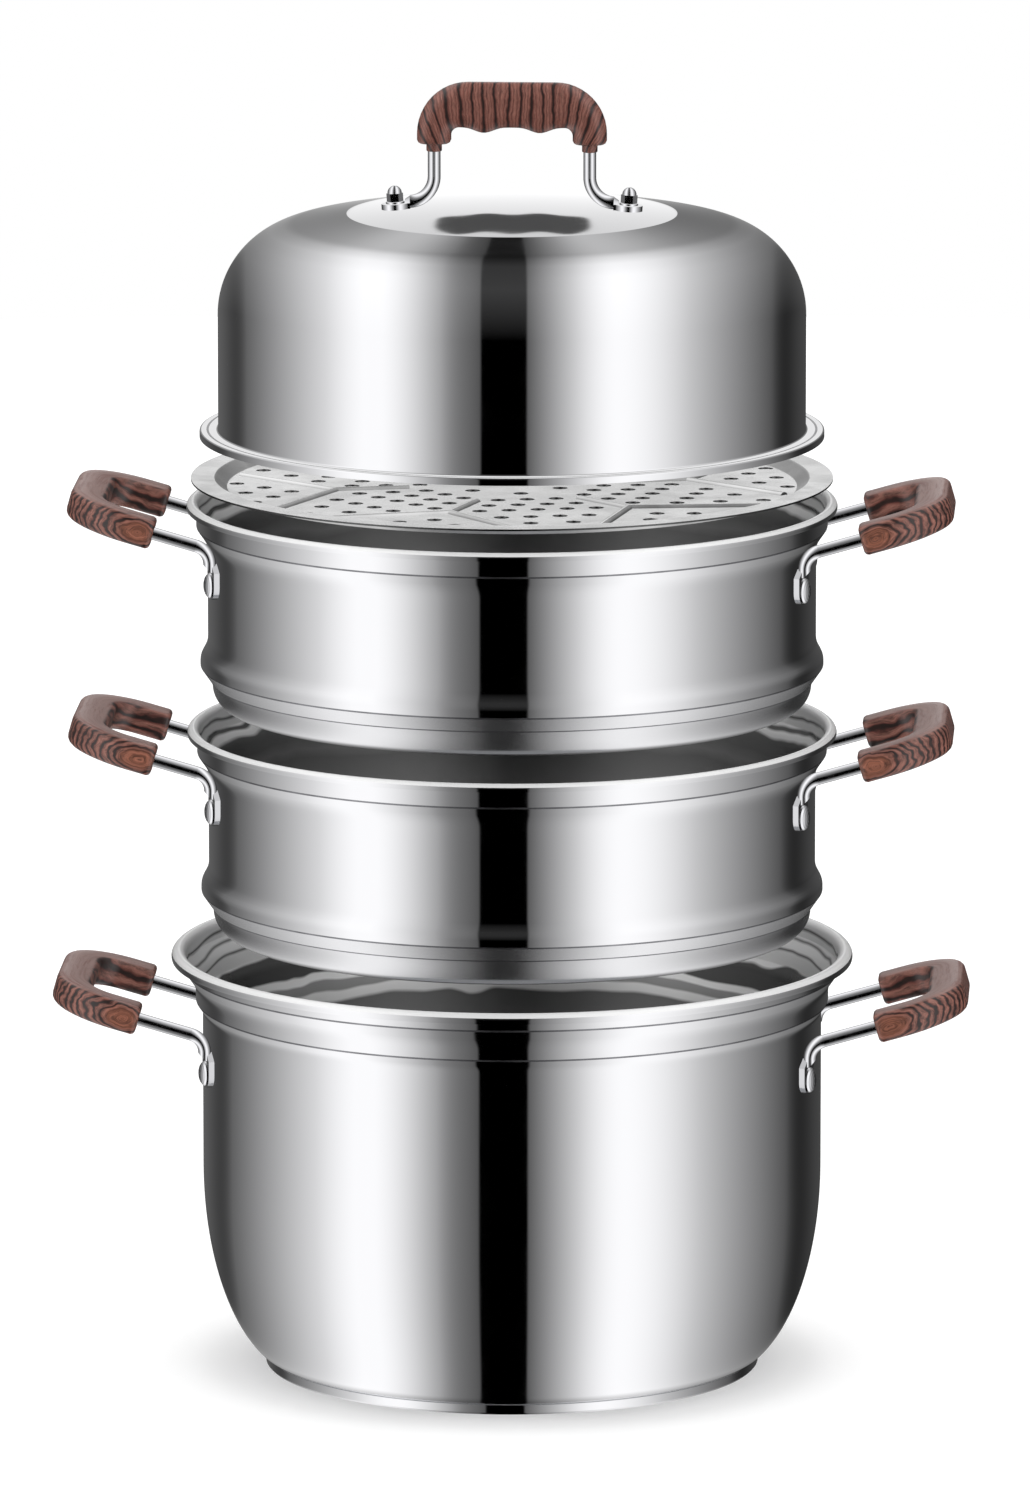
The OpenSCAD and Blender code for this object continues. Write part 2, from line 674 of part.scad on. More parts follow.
module lid_bolts() {
    shank = sheet + seat_gap + nut_top + nut_dome_h / 3;
    color(STEEL) at_bolts() translate([0, 0, -sheet - seat_gap]) {
        translate([0, 0, -bolt_head_h]) cylinder(h = bolt_head_h, d = bolt_head_d);
        cylinder(h = shank, d = bolt_d);
    }
}

module lid_washers() {
    color(STEEL) at_bolts() translate([0, 0, foot_t + seat_gap]) difference() {
        cylinder(h = washer_t, d = washer_d);
        translate([0, 0, -CUT]) cylinder(h = washer_t + 2 * CUT, d = bolt_d + 2 * bore_gap);
    }
}

module lid_cap_nuts() {
    color(STEEL) at_bolts() translate([0, 0, nut_top - nut_h]) difference() {
        union() {
            cylinder(h = nut_h, d = nut_w / cos(30), $fn = 6);
            translate([0, 0, nut_h]) dome(nut_w / 2, nut_dome_h);
        }
        translate([0, 0, -CUT]) cylinder(h = CUT + nut_h + nut_dome_h / 2, d = bolt_d + 2 * bore_gap);
    }
}

// Where each vessel with side handles stands, and the sizes that its handles are fitted to
function vessel_z(v) = v == "pot" ? 0 : v == "lower_tier" ? lower_tier_z : upper_tier_z;
function wall_of(v) = v == "pot" ? pot_r : tier_r;
function rivet_of(v) = v == "pot" ? pot_rivet_z : tier_rivet_z;
function lip_of(v) = v == "pot" ? pot_lip_r : tier_lip_r;

module handle_part(v, side, part) {
    translate([0, 0, vessel_z(v)]) mirror([side == "left" ? 1 : 0, 0, 0]) {
        if (part == "rod") side_rod(wall_of(v), rivet_of(v), lip_of(v));
        if (part == "grip") side_grip(wall_of(v), rivet_of(v), lip_of(v));
        if (part == "rivets") side_rivets(wall_of(v), rivet_of(v));
    }
}

pot_shell();
base_core();
base_cap();
translate([0, 0, lower_plate_z]) plate(lower_plate_r);  // lower_plate
translate([0, 0, lower_tier_z]) tier_shell();  // lower_tier_shell
translate([0, 0, upper_tier_z]) tier_shell();  // upper_tier_shell
translate([0, 0, upper_plate_z]) plate(upper_plate_r);  // upper_plate
translate([0, 0, lid_z]) lid_shell();
translate([0, 0, lid_z]) lid_rod();
translate([0, 0, lid_z]) lid_grip();
translate([0, 0, lid_z]) lid_bolts();
translate([0, 0, lid_z]) lid_washers();
translate([0, 0, lid_z]) lid_cap_nuts();
for (v = HANDLED, s = SIDES, p = ["rod", "grip", "rivets"])
    handle_part(v, s, p);
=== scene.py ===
"""Dresses the frame of a stacked steamer pot: spun shells, plates, grips, studio and camera."""
import math

import bpy
from mathutils import Matrix, Quaternion, Vector


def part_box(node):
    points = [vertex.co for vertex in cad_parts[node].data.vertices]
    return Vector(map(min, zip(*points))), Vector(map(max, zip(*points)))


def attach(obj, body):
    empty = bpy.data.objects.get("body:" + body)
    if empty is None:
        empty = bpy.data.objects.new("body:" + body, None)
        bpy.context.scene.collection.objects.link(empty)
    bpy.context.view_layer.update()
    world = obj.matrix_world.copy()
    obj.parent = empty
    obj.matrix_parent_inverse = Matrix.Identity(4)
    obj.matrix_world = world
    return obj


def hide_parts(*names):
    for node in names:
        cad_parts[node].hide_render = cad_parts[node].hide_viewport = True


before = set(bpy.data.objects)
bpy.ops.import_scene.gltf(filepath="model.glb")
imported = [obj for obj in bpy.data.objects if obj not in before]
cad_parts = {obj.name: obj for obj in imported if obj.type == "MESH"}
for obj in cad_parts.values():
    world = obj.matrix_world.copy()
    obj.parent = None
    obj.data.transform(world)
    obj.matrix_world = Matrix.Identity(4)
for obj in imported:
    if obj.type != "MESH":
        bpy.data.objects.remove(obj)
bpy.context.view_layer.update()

bl_info = {
    "name": "Steamer Pot",
    "version": (1, 0, 0),
    "blender": (4, 5, 0),
    "location": "3D View > Sidebar > Steamer",
    "description": "Builds the looks of a stacked steel steamer pot around its frame",
    "category": "Add Mesh",
}

MM = 0.001


def linear(level):
    """Linear value of an sRGB level from 0 to 1."""
    return level / 12.92 if level <= 0.04045 else ((level + 0.055) / 1.055) ** 2.4


def srgb(code):
    """Linear colour of an sRGB hex code."""
    return [linear(int(code[i:i + 2], 16) / 255) for i in (0, 2, 4)]


def grey(level):
    """Linear colour of an sRGB grey from 0 to 255."""
    return [linear(level / 255)] * 3


# Sizes and colours that a user may change


def length(name, description, millimetres):
    return bpy.props.FloatProperty(name=name, description=description, default=millimetres * MM,
                                   min=0.0, unit="LENGTH", subtype="DISTANCE", precision=4)


def angle(name, description, degrees):
    return bpy.props.FloatProperty(name=name, description=description,
                                   default=math.radians(degrees), unit="ROTATION", subtype="ANGLE")


def tint(name, description, code):
    return bpy.props.FloatVectorProperty(name=name, description=description, default=srgb(code),
                                         size=3, min=0.0, max=1.0, subtype="COLOR")


class SteamerShapes(bpy.types.PropertyGroup):
    """Sizes of the spun shells."""
    sheet: length("Sheet", "Thickness of the sheet steel", 0.8)
    crease: length("Crease", "Radius of a pressed crease", 0.8)
    spin_steps: bpy.props.IntProperty(name="Spin steps", description="Faces round each shell",
                                      default=256, min=32)
    pot_radius: length("Pot radius", "Outer radius of the pot's wall", 134)
    pot_height: length("Pot height", "Height of the pot's rim", 183)
    tier_radius: length("Tier radius", "Outer radius of a tier's wall", 131.1)
    tier_height: length("Tier height", "Height of a tier", 90)
    lid_radius: length("Lid radius", "Outer radius of the lid's wall", 126.4)


class SteamerFinishes(bpy.types.PropertyGroup):
    """Colours of the steel, the grips and the base."""
    polished: tint("Polished steel", "Colour of the mirror-polished sheet", "dcdcde")
    satin: tint("Satin steel", "Colour of the tiers' beads and skirts", "d2d2d4")
    plate: tint("Plates", "Colour of the pierced plates", "f0f0f0")
    # Brightest level of the painted reflection rings on the inner walls
    dull: tint("Dull steel", "Colour of the inner walls", "fafafa")
    # Colour of the painted shade along the walls' creases
    crease: tint("Crease", "Colour of the walls' unpolished creases", "8c8c90")
    bright: tint("Bright steel", "Colour of the rods and fasteners", "dadadd")
    aluminium: tint("Aluminium", "Colour of the base's core", "b9bbbe")
    wood_light: tint("Light grain", "Lightest colour of the grips", "9a6557")
    wood_mid: tint("Middle grain", "Main colour of the grips", "79443a")
    wood_dark: tint("Dark grain", "Colour of the dark stripes", "2e1813")
    # Colour of the painted sheen on the side grips' upper faces
    painted_sheen: tint("Top grain", "Colour of the side grips' upper faces", "94726a")
    wood_eye: tint("Eye", "Colour of the grain's eye near the legs' ends", "a8664c")


class SteamerStage(bpy.types.PropertyGroup):
    """Camera and light."""
    azimuth: angle("Azimuth", "Camera's angle round the pot", 3.0)
    elevation: angle("Elevation", "Camera's angle above the table", 10.5)
    roll: angle("Roll", "Camera's turn round its own view", 0.0)
    distance: length("Distance", "Distance from camera to pot", 6000)
    view_height: length("View height", "Height that the frame shows at the pot", 648)
    light: bpy.props.FloatProperty(name="Light", description="Level of the plain soft light",
                                   default=0.85, min=0.0, soft_max=2.0, subtype="FACTOR")


def in_mm(size):
    """A size from the panel in millimetres, without the property's rounding."""
    return round(size / MM, 3)


# Painted reflections in rings of light and dark on the inner walls, and painted shade under the lid:
# depth in mm under the top, and level
BAND_SPAN = 60.0
POT_BANDS = [(0, 1.0), (4, 1.0), (5.2, 0.12), (6.6, 1.0), (9.5, 1.0), (10.5, 0.15), (11.5, 1.0),
             (14.5, 1.0), (15.5, 0.12), (16.5, 1.0), (22.5, 1.0), (23.5, 0.05), (33, 0.04),
             (34, 1.0), (36.5, 1.0), (37.5, 0.3), (41, 0.25), (42, 0.8), (45, 0.7), (46.5, 0.08),
             (60, 0.12)]
TIER_BANDS = [(0, 1.0), (4, 1.0), (5.2, 0.12), (6.6, 1.0), (9.5, 1.0), (10.5, 0.08), (11.5, 0.1),
              (12.5, 1.0), (14.5, 0.9), (16, 0.1), (24, 0.08), (29, 0.13), (33, 0.07), (44, 0.12),
              (60, 0.2)]
LID_BANDS = [(0, 0.5), (30, 0.3), (60, 0.6)]


# Nodes and materials


def add_node(tree, kind, values=()):
    """Adds a node with its properties and inputs, and links those whose value is a socket.

    A node stands for its first output."""
    node = tree.nodes.new(kind)
    for key, value in dict(values).items():
        if isinstance(value, bpy.types.Node):
            value = value.outputs[0]
        if isinstance(value, bpy.types.NodeSocket):
            tree.links.new(value, node.inputs[key])
        elif isinstance(key, str) and hasattr(node, key):
            setattr(node, key, value)
        else:
            node.inputs[key].default_value = value
    return node


def fill_ramp(node, stops, interpolation="LINEAR"):
    """Puts stops on a colour ramp, each a position with a colour or a plain level."""
    ramp = node.color_ramp
    ramp.interpolation = interpolation
    while len(ramp.elements) > 1:
        ramp.elements.remove(ramp.elements[-1])
    for i, (place, colour) in enumerate(stops):
        if isinstance(colour, (int, float)):
            colour = [colour] * 3
        element = ramp.elements[0] if i == 0 else ramp.elements.new(place)
        element.position = place
        element.color = (*colour[:3], 1.0)
    return node


def empty_nodes(owner):
    """The node tree of a new material or world, with nothing in it."""
    owner.use_nodes = True
    owner.node_tree.nodes.clear()
    return owner.node_tree


def new_material(name, values=()):
    """A node material with its output and a Principled shader, or the finished one of that name.

    values are what is the same all over the surface."""
    material = bpy.data.materials.get(name)
    if material:
        return material, None, None
    material = bpy.data.materials.new(name)
    tree = empty_nodes(material)
    shader = add_node(tree, "ShaderNodeBsdfPrincipled", values)
    add_node(tree, "ShaderNodeOutputMaterial", {"Surface": shader})
    return material, tree, shader


def finishes():
    """The colours in the panel."""
    return bpy.context.scene.steamer_finishes


def dimmed(colour, share):
    """A colour at a share of its level."""
    return [c * share for c in colour]


def add_grain(tree, shader, patches, detail, roughness):
    """Lets a shader's gloss vary in patches, and returns its texture coordinates.

    patches is how many lie in a metre, and roughness its least and most."""
    place = add_node(tree, "ShaderNodeTexCoord")
    grain = add_node(tree, "ShaderNodeTexNoise",
                     {"Scale": patches, "Detail": detail, "Vector": place.outputs["Object"]})
    gloss = add_node(tree, "ShaderNodeMapRange",
                     {"From Min": 0.3, "From Max": 0.7, "To Min": roughness[0],
                      "To Max": roughness[1], "Value": grain})
    tree.links.new(gloss.outputs["Result"], shader.inputs["Roughness"])
    return place


def plain_metal(name, colour, patches, detail, roughness):
    """A metal of one colour with the grain that add_grain gives it."""
    material, tree, shader = new_material(name, {"Base Color": (*colour, 1.0), "Metallic": 1.0})
    if tree:
        add_grain(tree, shader, patches, detail, roughness)
    return material


def polished_steel():
    """Mirror-polished stainless steel sheet: sharp reflections with a faint polishing haze.

    The haze comes in patches of 17 mm, about as wide as the wheel leaves them."""
    return plain_metal("polished_stainless_steel", finishes().polished, 60.0, 3.0, (0.028, 0.05))


def satin_steel():
    """Stainless steel as rolled and pressed, on the beads and skirts: softly blurred reflections.

    The grain is 1.1 mm, coarser than the real one, which would be too fine to show."""
    return plain_metal("satin_stainless_steel", finishes().satin, 900.0, 2.0, (0.19, 0.22))


def bright_steel():
    """Drawn and tumbled steel rod and fasteners: bright, slightly soft reflections.

    The marks that tumbling leaves are drawn 2.5 mm wide, so that they show."""
    return plain_metal("bright_drawn_steel", finishes().bright, 400.0, 2.0, (0.08, 0.14))


def cast_aluminium():
    """Plain aluminium disc under the pot: dull grey metal with a grain of 1.4 mm."""
    return plain_metal("plain_aluminium", finishes().aluminium, 700.0, 2.0, (0.3, 0.42))


def pierced_steel():
    """Pressed and punched stainless sheet: satin faces, with painted shade where they look sideways.

    Its grain is 8 mm, and the clouds that the press leaves in its brightness are 42 mm."""
    material, tree, shader = new_material("pressed_pierced_steel", {"Metallic": 1.0})
    if tree:
        colour = finishes().plate
        place = add_grain(tree, shader, 120.0, 3.0, (0.17, 0.25))
        # Painted shade: faces that look sideways, as the holes' walls and the ridges' sides, are
        # darker
        facing = add_node(tree, "ShaderNodeSeparateXYZ", {"Vector": place.outputs["Normal"]})
        level = add_node(tree, "ShaderNodeMath", {"operation": "ABSOLUTE", 0: facing.outputs["Z"]})
        shade = add_node(tree, "ShaderNodeValToRGB", {"Fac": level})
        fill_ramp(shade, [(0.15, dimmed(colour, 0.12)), (0.45, dimmed(colour, 0.6)), (0.9, colour)])
        clouds = add_node(tree, "ShaderNodeTexNoise",
                          {"Scale": 24.0, "Detail": 2.0, "Distortion": 0.8,
                           "Vector": place.outputs["Object"]})
        smudge = add_node(tree, "ShaderNodeMapRange",
                          {"From Min": 0.35, "From Max": 0.65, "To Min": 0.76, "To Max": 1.04,
                           "Value": clouds})
        shade = add_node(tree, "ShaderNodeVectorMath",
                         {"operation": "SCALE", 0: shade, "Scale": smudge})
        tree.links.new(shade.outputs["Vector"], shader.inputs["Base Color"])
    return material


def painted_reflection_steel(name, bands):
    """Inner side and lip of the drawn sheet: pale, with the light of the whole room on it, and
    painted reflections in rings.

    bands are (depth in mm under the top, level): painted reflection rings, soft, bright and dark,
    in which the neck's steps and the wall under them show. They wander by 3 mm in patches of 59 mm."""
    material, tree, shader = new_material(name, {"Metallic": 0.2, "Roughness": 0.2})
    if tree:
        place = add_node(tree, "ShaderNodeTexCoord")
        depth = add_node(tree, "ShaderNodeAttribute", {"attribute_name": "depth"})
        clouds = add_node(tree, "ShaderNodeTexNoise",
                          {"Scale": 17.0, "Detail": 2.0, "Distortion": 0.6,
                           "Vector": place.outputs["Object"]})
        wander = add_node(tree, "ShaderNodeMapRange",
                          {"From Min": 0.25, "From Max": 0.75, "To Min": -3.0, "To Max": 3.0,
                           "Value": clouds})
        ring = add_node(tree, "ShaderNodeMath",
                        {"operation": "ADD", 0: depth.outputs["Fac"], 1: wander})
        ring = add_node(tree, "ShaderNodeMath",
                        {"operation": "MULTIPLY", 0: ring, 1: 1 / BAND_SPAN})
        # The rings' levels are painted reflections, and painted shade under the lid
        shade = add_node(tree, "ShaderNodeValToRGB", {"Fac": ring})
        fill_ramp(shade, [(d / BAND_SPAN, dimmed(finishes().dull, level)) for d, level in bands])
        tree.links.new(shade.outputs["Color"], shader.inputs["Base Color"])
    return material


def painted_crease_shade():
    """Painted shade along the narrow creases: dark and dull steel, in 11 mm patches."""
    material, tree, shader = new_material("painted_crease_shade_steel",
                                          {"Metallic": 1.0, "Roughness": 0.25})
    if tree:
        colour = finishes().crease
        place = add_node(tree, "ShaderNodeTexCoord")
        patches = add_node(tree, "ShaderNodeTexNoise",
                           {"Scale": 90.0, "Detail": 2.0, "Vector": place.outputs["Object"]})
        shade = add_node(tree, "ShaderNodeValToRGB", {"Fac": patches})
        fill_ramp(shade, [(0.35, dimmed(colour, 0.7)), (0.65, colour)])
        tree.links.new(shade.outputs["Color"], shader.inputs["Base Color"])
    return material


def add_fibres(tree, place, per_mm, levels, colour):
    """Lays fine fibres over a colour, as per_mm of them along each of the grain's directions."""
    way = add_node(tree, "ShaderNodeMapping", {"Scale": per_mm, "Vector": place})
    fibres = add_node(tree, "ShaderNodeTexNoise",
                      {"Scale": 1.0, "Detail": 4.0, "Roughness": 0.75, "Vector": way})
    shade = add_node(tree, "ShaderNodeValToRGB", {"Fac": fibres})
    fill_ramp(shade, zip((0.36, 0.5, 0.64), levels))
    mixed = add_node(tree, "ShaderNodeMix",
                     {"data_type": "RGBA", "blend_type": "MULTIPLY", 0: 1.0, 6: colour, 7: shade})
    return mixed.outputs[2]


# Moulded plastic under a satin gloss coat
PLASTIC = {"Roughness": 0.38, "Coat Weight": 0.25, "Coat Roughness": 0.2}


def grain_plastic():
    """Moulded phenolic plastic of the lid's grip, with a rosewood grain printed in waves.

    A wave is 5 mm wide, and the fibres in it are 0.4 mm."""
    material, tree, shader = new_material("rosewood_grain_plastic", PLASTIC)
    if tree:
        finish = finishes()
        grain = add_node(tree, "ShaderNodeAttribute", {"attribute_name": "grain"})
        wave = add_node(tree, "ShaderNodeTexNoise",
                        {"Scale": 0.12, "Detail": 2.0, "Vector": grain.outputs["Vector"]})
        bent = add_node(tree, "ShaderNodeVectorMath",
                        {"operation": "MULTIPLY_ADD", 0: wave.outputs["Color"], 1: (3.0, 0.0, 0.0),
                         2: grain.outputs["Vector"]})
        long_way = add_node(tree, "ShaderNodeMapping", {"Scale": (1.0, 0.12, 0.12), "Vector": bent})
        lines = add_node(tree, "ShaderNodeTexWave",
                         {"Scale": 0.062, "Distortion": 3.2, "Detail": 2.0, "Detail Scale": 1.4,
                          "Vector": long_way})
        stripes = add_node(tree, "ShaderNodeValToRGB", {"Fac": lines.outputs["Fac"]})
        fill_ramp(stripes, [(0.02, finish.wood_dark), (0.16, finish.wood_mid),
                            (0.5, finish.wood_light), (0.8, finish.wood_mid),
                            (1.0, finish.wood_light)])
        colour = add_fibres(tree, bent, (2.4, 0.25, 0.3), (0.5, 0.9, 1.2), stripes)
        tree.links.new(colour, shader.inputs["Base Color"])
    return material


def ringed_plastic():
    """The same plastic on the side grips: rings round an eye near each leg's end, and a painted
    sheen on top.

    A ring is 3 mm wide, the fibres are 0.8 mm and the top's lines 2 to 3 mm."""
    material, tree, shader = new_material("rosewood_ringed_plastic", PLASTIC)
    if tree:
        finish = finishes()
        grain = add_node(tree, "ShaderNodeAttribute", {"attribute_name": "grain"})
        wave = add_node(tree, "ShaderNodeTexNoise",
                        {"Scale": 0.16, "Detail": 2.0, "Vector": grain.outputs["Vector"]})
        bent = add_node(tree, "ShaderNodeVectorMath",
                        {"operation": "MULTIPLY_ADD", 0: wave.outputs["Color"], 1: (5.0, 3.0, 0.0),
                         2: grain.outputs["Vector"]})
        flat = add_node(tree, "ShaderNodeVectorMath", {"operation": "MULTIPLY_ADD", 0: bent,
                                                       1: (1.0, 1.5, 0.0), 2: (-2.5, -2.2, 0.0)})
        away = add_node(tree, "ShaderNodeVectorMath", {"operation": "LENGTH", 0: flat})
        parts = add_node(tree, "ShaderNodeSeparateXYZ", {"Vector": grain.outputs["Vector"]})
        place = add_node(tree, "ShaderNodeCombineXYZ",
                         {"X": away.outputs["Value"], "Y": parts.outputs["Y"],
                          "Z": parts.outputs["Z"]})
        rings = add_node(tree, "ShaderNodeTexWave",
                         {"Scale": 0.112, "Distortion": 4.0, "Detail": 3.0, "Detail Scale": 1.8,
                          "Vector": place})
        stripes = add_node(tree, "ShaderNodeValToRGB", {"Fac": rings.outputs["Fac"]})
        fill_ramp(stripes, [(0.1, finish.wood_dark), (0.42, finish.wood_mid),
                            (0.85, finish.wood_light)])
        # The eye is 17 mm across with its soft edge
        eye = add_node(tree, "ShaderNodeMapRange", {"From Min": 8.5, "From Max": 4.5,
                                                    "To Max": 0.75, "Value": away.outputs["Value"]})
        warm = add_node(tree, "ShaderNodeMix",
                        {"data_type": "RGBA", 0: eye, 6: stripes, 7: (*finish.wood_eye, 1.0)})
        side = add_fibres(tree, place, (1.3, 0.3, 0.3), (0.32, 0.8, 1.2), warm.outputs[2])
        top_way = add_node(tree, "ShaderNodeMapping", {"Scale": (0.05, 0.3, 0.55), "Vector": bent})
        top_lines = add_node(tree, "ShaderNodeTexNoise",
                             {"Scale": 1.0, "Detail": 4.0, "Roughness": 0.7, "Vector": top_way})
        top = add_node(tree, "ShaderNodeValToRGB", {"Fac": top_lines})
        fill_ramp(top, [(0.34, finish.wood_mid), (0.5, finish.painted_sheen),
                        (0.7, dimmed(finish.painted_sheen, 1.2))])
        # Painted sheen: faces that look up are paler, less on the legs than on the band
        geometry = add_node(tree, "ShaderNodeTexCoord")
        facing = add_node(tree, "ShaderNodeSeparateXYZ", {"Vector": geometry.outputs["Normal"]})
        upper = add_node(tree, "ShaderNodeMapRange", {"From Min": 0.74, "From Max": 0.88,
                                                      "To Max": 0.9, "Value": facing.outputs["Z"]})
        leg = add_node(tree, "ShaderNodeMapRange",
                       {"From Min": -22.0, "From Max": -6.0, "To Min": 1.0, "To Max": 0.6,
                        "Value": parts.outputs["X"]})
        upper = add_node(tree, "ShaderNodeMath", {"operation": "MULTIPLY", 0: upper, 1: leg})
        whole = add_node(tree, "ShaderNodeMix", {"data_type": "RGBA", 0: upper, 6: side, 7: top})
        tree.links.new(whole.outputs[2], shader.inputs["Base Color"])
    return material


# Modelling helpers


def clear_selection():
    """Leaves edit mode and deselects everything, the frame's nodes too."""
    if bpy.context.object and bpy.context.object.mode != "OBJECT":
        bpy.ops.object.mode_set(mode="OBJECT")
    bpy.ops.object.select_all(action="DESELECT")


def arc(centre_r, centre_z, radius, start, end, step=4.0):
    """Points (radius, height) in mm along an arc, with its angles and their step in degrees."""
    count = max(2, math.ceil(abs(end - start) / step))
    angles = [math.radians(start + (end - start) * i / count) for i in range(count + 1)]
    return [(centre_r + radius * math.cos(a), centre_z + radius * math.sin(a)) for a in angles]


def bend_points(before, corner, after, radius):
    """The points of a round bend at a corner of a path, in mm."""
    a = Vector(before) - Vector(corner)
    b = Vector(after) - Vector(corner)
    turn = math.pi - a.angle(b)
    reach = min(radius * math.tan(turn / 2), 0.45 * a.length, 0.45 * b.length)
    first = Vector(corner) + a.normalized() * reach
    last = Vector(corner) + b.normalized() * reach
    count = max(2, math.ceil(math.degrees(turn) / 12))
    spots = []
    for i in range(count + 1):
        t = i / count
        spots.append(first.lerp(Vector(corner), t).lerp(Vector(corner).lerp(last, t), t))
    return [tuple(s) for s in spots]


def sheet_path(parts):
    """Outer side of a bent sheet as points in mm.

    A part is a corner (r, z, bend radius) or a list of points that are kept as they are."""
    runs = []
    flat = []
    hold = 0.4  # from both ends of a straight stretch to points that keep its shading flat
    for part in parts:
        for r, z in ([part[:2]] if isinstance(part, tuple) else part):
            flat.append(((r, z), part[2] if isinstance(part, tuple) else None))
    for i, (spot, bend) in enumerate(flat):
        if bend:
            runs.append((bend_points(flat[i - 1][0], spot, flat[i + 1][0], bend), False))
        elif bend is None and runs and runs[-1][1]:
            runs[-1][0].append(spot)
        else:
            runs.append(([spot], bend is None))
    points = list(runs[0][0])
    for run, _ in runs[1:]:
        start, end = Vector(points[-1]), Vector(run[0])
        gap = (end - start).length
        if gap > 5 * hold:
            points.append(tuple(start.lerp(end, hold / gap)))
            points.append(tuple(end.lerp(start, hold / gap)))
        points.extend(run)
    return points


def spun_sheet(name, parts, height, outward):
    """Draws a path as a chain of edges, spins it round the pot's axis and makes it a sheet.

    height is where the path's zero stands, and outward the (radius, height) in mm of a face that
    looks outwards."""
    shapes = bpy.context.scene.steamer_shapes
    path = [(r * MM, z * MM + height) for r, z in sheet_path(parts)]
    clear_selection()
    bpy.ops.mesh.primitive_plane_add(size=MM)
    piece = bpy.context.object
    piece.name = piece.data.name = name
    bpy.ops.object.mode_set(mode="EDIT")
    bpy.ops.mesh.merge(type="CENTER")
    bpy.ops.transform.translate(value=(path[0][0], 0, path[0][1]))
    for (r0, z0), (r1, z1) in zip(path, path[1:]):
        bpy.ops.mesh.extrude_vertices_move(TRANSFORM_OT_translate={"value": (r1 - r0, 0, z1 - z0)})
    bpy.ops.mesh.select_all(action="SELECT")
    bpy.ops.mesh.spin(steps=shapes.spin_steps, angle=2 * math.pi, center=(0, 0, 0), axis=(0, 0, 1))
    bpy.ops.mesh.select_all(action="SELECT")
    bpy.ops.mesh.remove_doubles(threshold=0.00002)
    bpy.ops.mesh.normals_make_consistent(inside=False)
    bpy.ops.object.mode_set(mode="OBJECT")
    spot = Vector((outward[0] * MM, 0, outward[1] * MM + height))
    face = min(piece.data.polygons, key=lambda f: (f.center - spot).length)
    if face.normal.x < 0:
        bpy.ops.object.mode_set(mode="EDIT")
        bpy.ops.mesh.select_all(action="SELECT")
        bpy.ops.mesh.flip_normals()
        bpy.ops.object.mode_set(mode="OBJECT")
    wall = piece.modifiers.new("Wall", "SOLIDIFY")
    wall.thickness = shapes.sheet
    wall.offset = -1
    wall.use_even_offset = True
    bpy.ops.object.modifier_apply(modifier=wall.name)
    bpy.ops.object.shade_smooth_by_angle(angle=math.radians(40))
    return piece


def dress(piece, materials, choose=None):
    """Gives a piece its materials, and each face the one that choose(face) names by number."""
    piece.data.materials.clear()
    for material in materials:
        piece.data.materials.append(material)
    if choose:
        for face in piece.data.polygons:
            face.material_index = choose(face)


def dress_node(name, material):
    """Gives a carried-over solid a material on its object, and leaves its mesh alone."""
    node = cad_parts[name]
    if not node.material_slots:
        node.data.materials.append(None)
    for slot in node.material_slots:
        slot.link = "OBJECT"
        slot.material = material


def mark_depth(piece):
    """Keeps each point's depth in mm under the top of its piece."""
    top = max(vertex.co.z for vertex in piece.data.vertices)
    depth = piece.data.attributes.new("depth", "FLOAT", "POINT")
    for i, vertex in enumerate(piece.data.vertices):
        depth.data[i].value = (top - vertex.co.z) / MM


def looks_in(face):
    """True for a face of a wall's inner side."""
    flat = Vector((face.center.x, face.center.y, 0))
    return flat.length > MM and face.normal.dot(flat.normalized()) < -0.2


def on_lip(face, height):
    """True for a face of a rolled lip that looks up, above a height in metres."""
    return face.center.z > height and face.normal.z > 0.4


# Half the width in mm of the painted shade line along a pressed crease
CREASE_REACH = 0.45


def in_crease(face, low, heights):
    """True for a face in one of the outer wall's creases, at the given heights in mm above low."""
    return not looks_in(face) and any(abs(face.center.z - low - z * MM) < CREASE_REACH * MM
                                      for z in heights)


def hide_from_mirrors(piece):
    """Keeps a piece out of the steel's reflections, as where each vessel is lit on its own."""
    piece.visible_glossy = False


# Pieces


class SpinPot(bpy.types.Operator):
    """Spins the pot's bowl, wall, stepped neck and rolled lip, and dresses its base"""
    bl_idname = "steamer.spin_pot"
    bl_label = "Pot"

    def execute(self, context):
        shapes = context.scene.steamer_shapes
        wall, top = in_mm(shapes.pot_radius), in_mm(shapes.pot_height)
        floor, bowl_width, bowl_height, bowl_steps = 5, 38.5, 88, 32
        steps = (top - 22.2, top - 8.36)
        lowest = math.asin(1 - floor / bowl_height)
        bowl = []
        for i in range(bowl_steps + 1):
            a = lowest * (1 - i / bowl_steps)
            bowl.append((wall - bowl_width + bowl_width * math.cos(a),
                         bowl_height * (1 - math.sin(a))))
        parts = [(0, floor, 0), bowl, (wall, top - 26.49, 5), (wall + 3, steps[0], 1.4),
                 (wall + 3, top - 15.5, 9), (wall + 8, steps[1], 1.4),
                 arc(wall + 10.35, top - 3.15, 2.35, 180, -20, 12)]
        lip = (top - 5.5) * MM

        def finish(face):
            # Painted shade in the neck's creases, and painted reflection rings inside and on the lip
            if in_crease(face, 0, steps):
                return 2
            return 1 if looks_in(face) or on_lip(face, lip) else 0

        pot = spun_sheet("pot_body", parts, 0.0, (wall, 120))
        mark_depth(pot)
        dress(pot, [polished_steel(), painted_reflection_steel("pot_inner_steel", POT_BANDS), painted_crease_shade()],
              finish)
        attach(pot, "pot")
        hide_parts("pot_shell")
        hide_from_mirrors(pot)
        dress_node("base_core", cast_aluminium())
        dress_node("base_cap", polished_steel())
        return {"FINISHED"}


